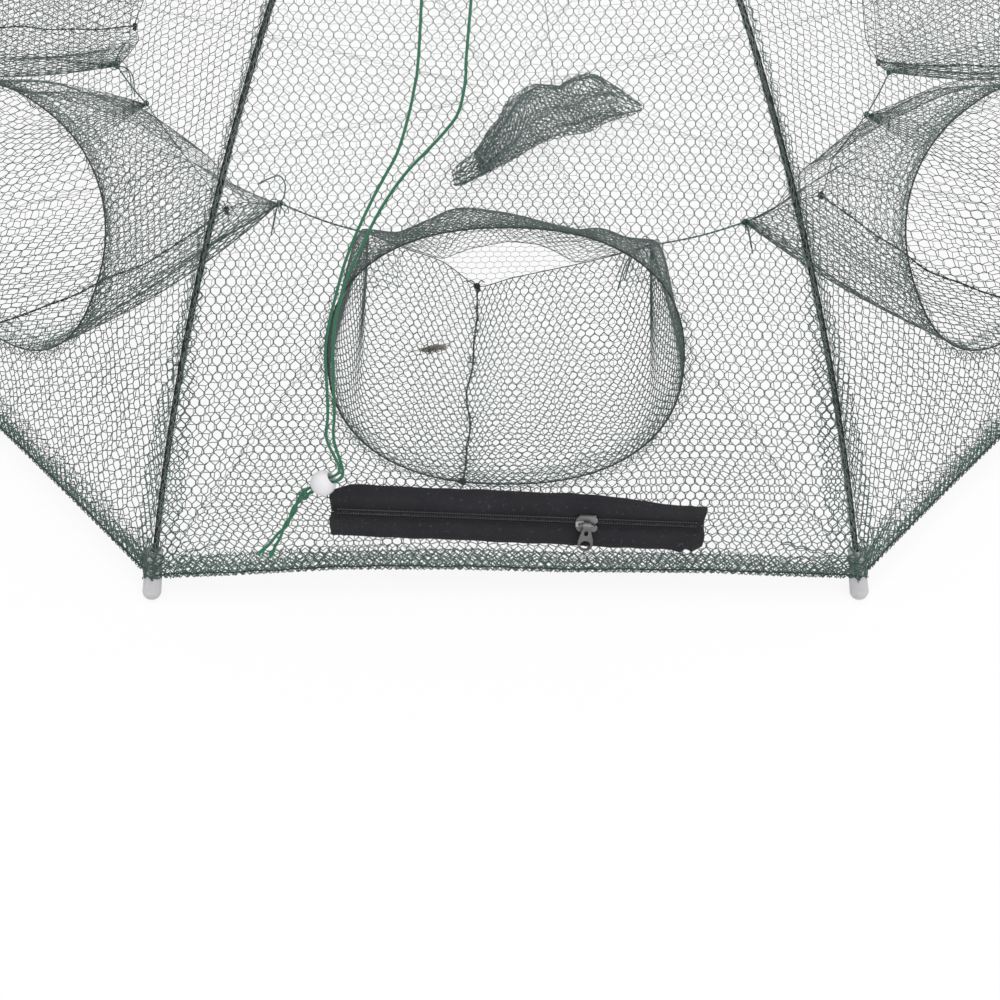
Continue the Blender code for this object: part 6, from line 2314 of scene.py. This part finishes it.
@dataclass
class Studio:
    """The camera, the lights, the white surround and the pale floor."""

    lens: float = 51.2
    place: Colour = (-0.003, -0.9405, 0.6274)
    tilt: float = math.radians(40.79)
    ambient: float = 0.72
    glow: float = 0.88

    def camera(self) -> None:
        """Set the camera from the photograph's measured view."""
        data = bpy.data.cameras.new("camera")
        data.lens = self.lens
        data.sensor_width = 36.0
        data.clip_start = 0.01
        made = bpy.data.objects.new("camera", data)
        made.location = self.place
        made.rotation_euler = (self.tilt, 0, 0)
        bpy.context.scene.collection.objects.link(made)
        bpy.context.scene.camera = made

    def light(self, name: str, place: Colour, size: float, power: float) -> None:
        """Add one soft square light that faces the trap."""
        data = bpy.data.lights.new(name, "AREA")
        data.size = size
        data.energy = power
        made = bpy.data.objects.new(name, data)
        made.location = place
        made.rotation_euler = (Vector((0, 0, 0.1)) - Vector(place)).to_track_quat("-Z", "Y").to_euler()
        bpy.context.scene.collection.objects.link(made)

    def world(self) -> None:
        """Make the surround white for the camera and soft for lighting."""
        world = bpy.data.worlds.new("surround")
        world.use_nodes = True
        tree = world.node_tree
        tree.nodes.clear()
        rays = tree.nodes.new("ShaderNodeLightPath")
        seen = tree.nodes.new("ShaderNodeMath")
        seen.operation = "MAXIMUM"
        tree.links.new(rays.outputs["Is Camera Ray"], seen.inputs[0])
        other = tree.nodes.new("ShaderNodeMath")
        other.operation = "MAXIMUM"
        tree.links.new(rays.outputs["Is Glossy Ray"], other.inputs[0])
        tree.links.new(rays.outputs["Is Transmission Ray"], other.inputs[1])
        tree.links.new(other.outputs[0], seen.inputs[1])
        low, high = tree.nodes.new("ShaderNodeBackground"), tree.nodes.new("ShaderNodeBackground")
        low.inputs["Strength"].default_value = self.ambient
        high.inputs["Strength"].default_value = 1.0
        for node in (low, high):
            node.inputs["Color"].default_value = (1, 1, 1, 1)
        both = tree.nodes.new("ShaderNodeMixShader")
        tree.links.new(seen.outputs[0], both.inputs[0])
        tree.links.new(low.outputs[0], both.inputs[1])
        tree.links.new(high.outputs[0], both.inputs[2])
        end = tree.nodes.new("ShaderNodeOutputWorld")
        tree.links.new(both.outputs[0], end.inputs["Surface"])
        bpy.context.scene.world = world

    def floor(self) -> None:
        """Lay a pale floor that melts into the white surround and keeps the trap's shadow."""
        board = Board("studio_floor")
        rays = board.node("ShaderNodeLightPath", output="Is Camera Ray")
        glossy = Signal(board, rays.socket.node.outputs["Is Glossy Ray"])
        through = Signal(board, rays.socket.node.outputs["Is Transmission Ray"])
        seen = rays.maths("MAXIMUM", rays.maths("MAXIMUM", rays, glossy), through)
        grain = board.noise(board.place(), 9.0, 2.0)
        paper = board.node("ShaderNodeBsdfDiffuse", {}, {"Color": board.mix(grain, (0.86, 0.86, 0.86),
                                                                           (0.90, 0.90, 0.90))})
        shine = board.node("ShaderNodeEmission", {}, {"Color": (1.0, 1.0, 1.0), "Strength": 1.0})
        board.node_output(board.node("ShaderNodeMixShader", {}, {0: seen * self.glow, 1: paper, 2: shine}))
        mesh = bpy.data.meshes.new("floor_sheet")
        mesh.from_pydata([(-4, -4, -0.0003), (4, -4, -0.0003), (4, 4, -0.0003), (-4, 4, -0.0003)], [],
                         [(0, 1, 2, 3)])
        new_object("floor_sheet", mesh, board.material)

    def build(self) -> None:
        """Set up everything round the trap."""
        bpy.context.scene.view_settings.view_transform = "Standard"
        self.light("overhead", (0.0, -0.35, 2.2), 2.5, 24.0)
        self.light("front_fill", (0.9, -1.9, 1.2), 1.6, 8.0)
        self.world()
        self.floor()


def main() -> None:
    """Build the camera, the cord and then every sub-assembly, and log each piece."""
    logging.basicConfig(level=logging.INFO, format="%(message)s", stream=sys.stdout)
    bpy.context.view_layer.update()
    studio = Studio()
    studio.camera()
    made: list[bpy.types.Object] = [*DrawCord().build(), Crown().build()]
    for k in range(FORM.sides):
        rib = RibAssembly(k)
        made += [NetPanel(k).build(), Entrance(k).build(), FloorPanel(k).build(), rib.wire(),
                 rib.net_sleeve(), rib.foot()]
    made += Zip().build()
    made.append(BaitBag().build())
    studio.build()
    total = 0
    for piece in made:
        count = sum(len(p.vertices) - 2 for p in piece.data.polygons)
        total += count
        log.info("%-24s %7d triangles", piece.name, count)
    log.info("all pieces: %d triangles", total)


if __name__ == "__main__":
    main()
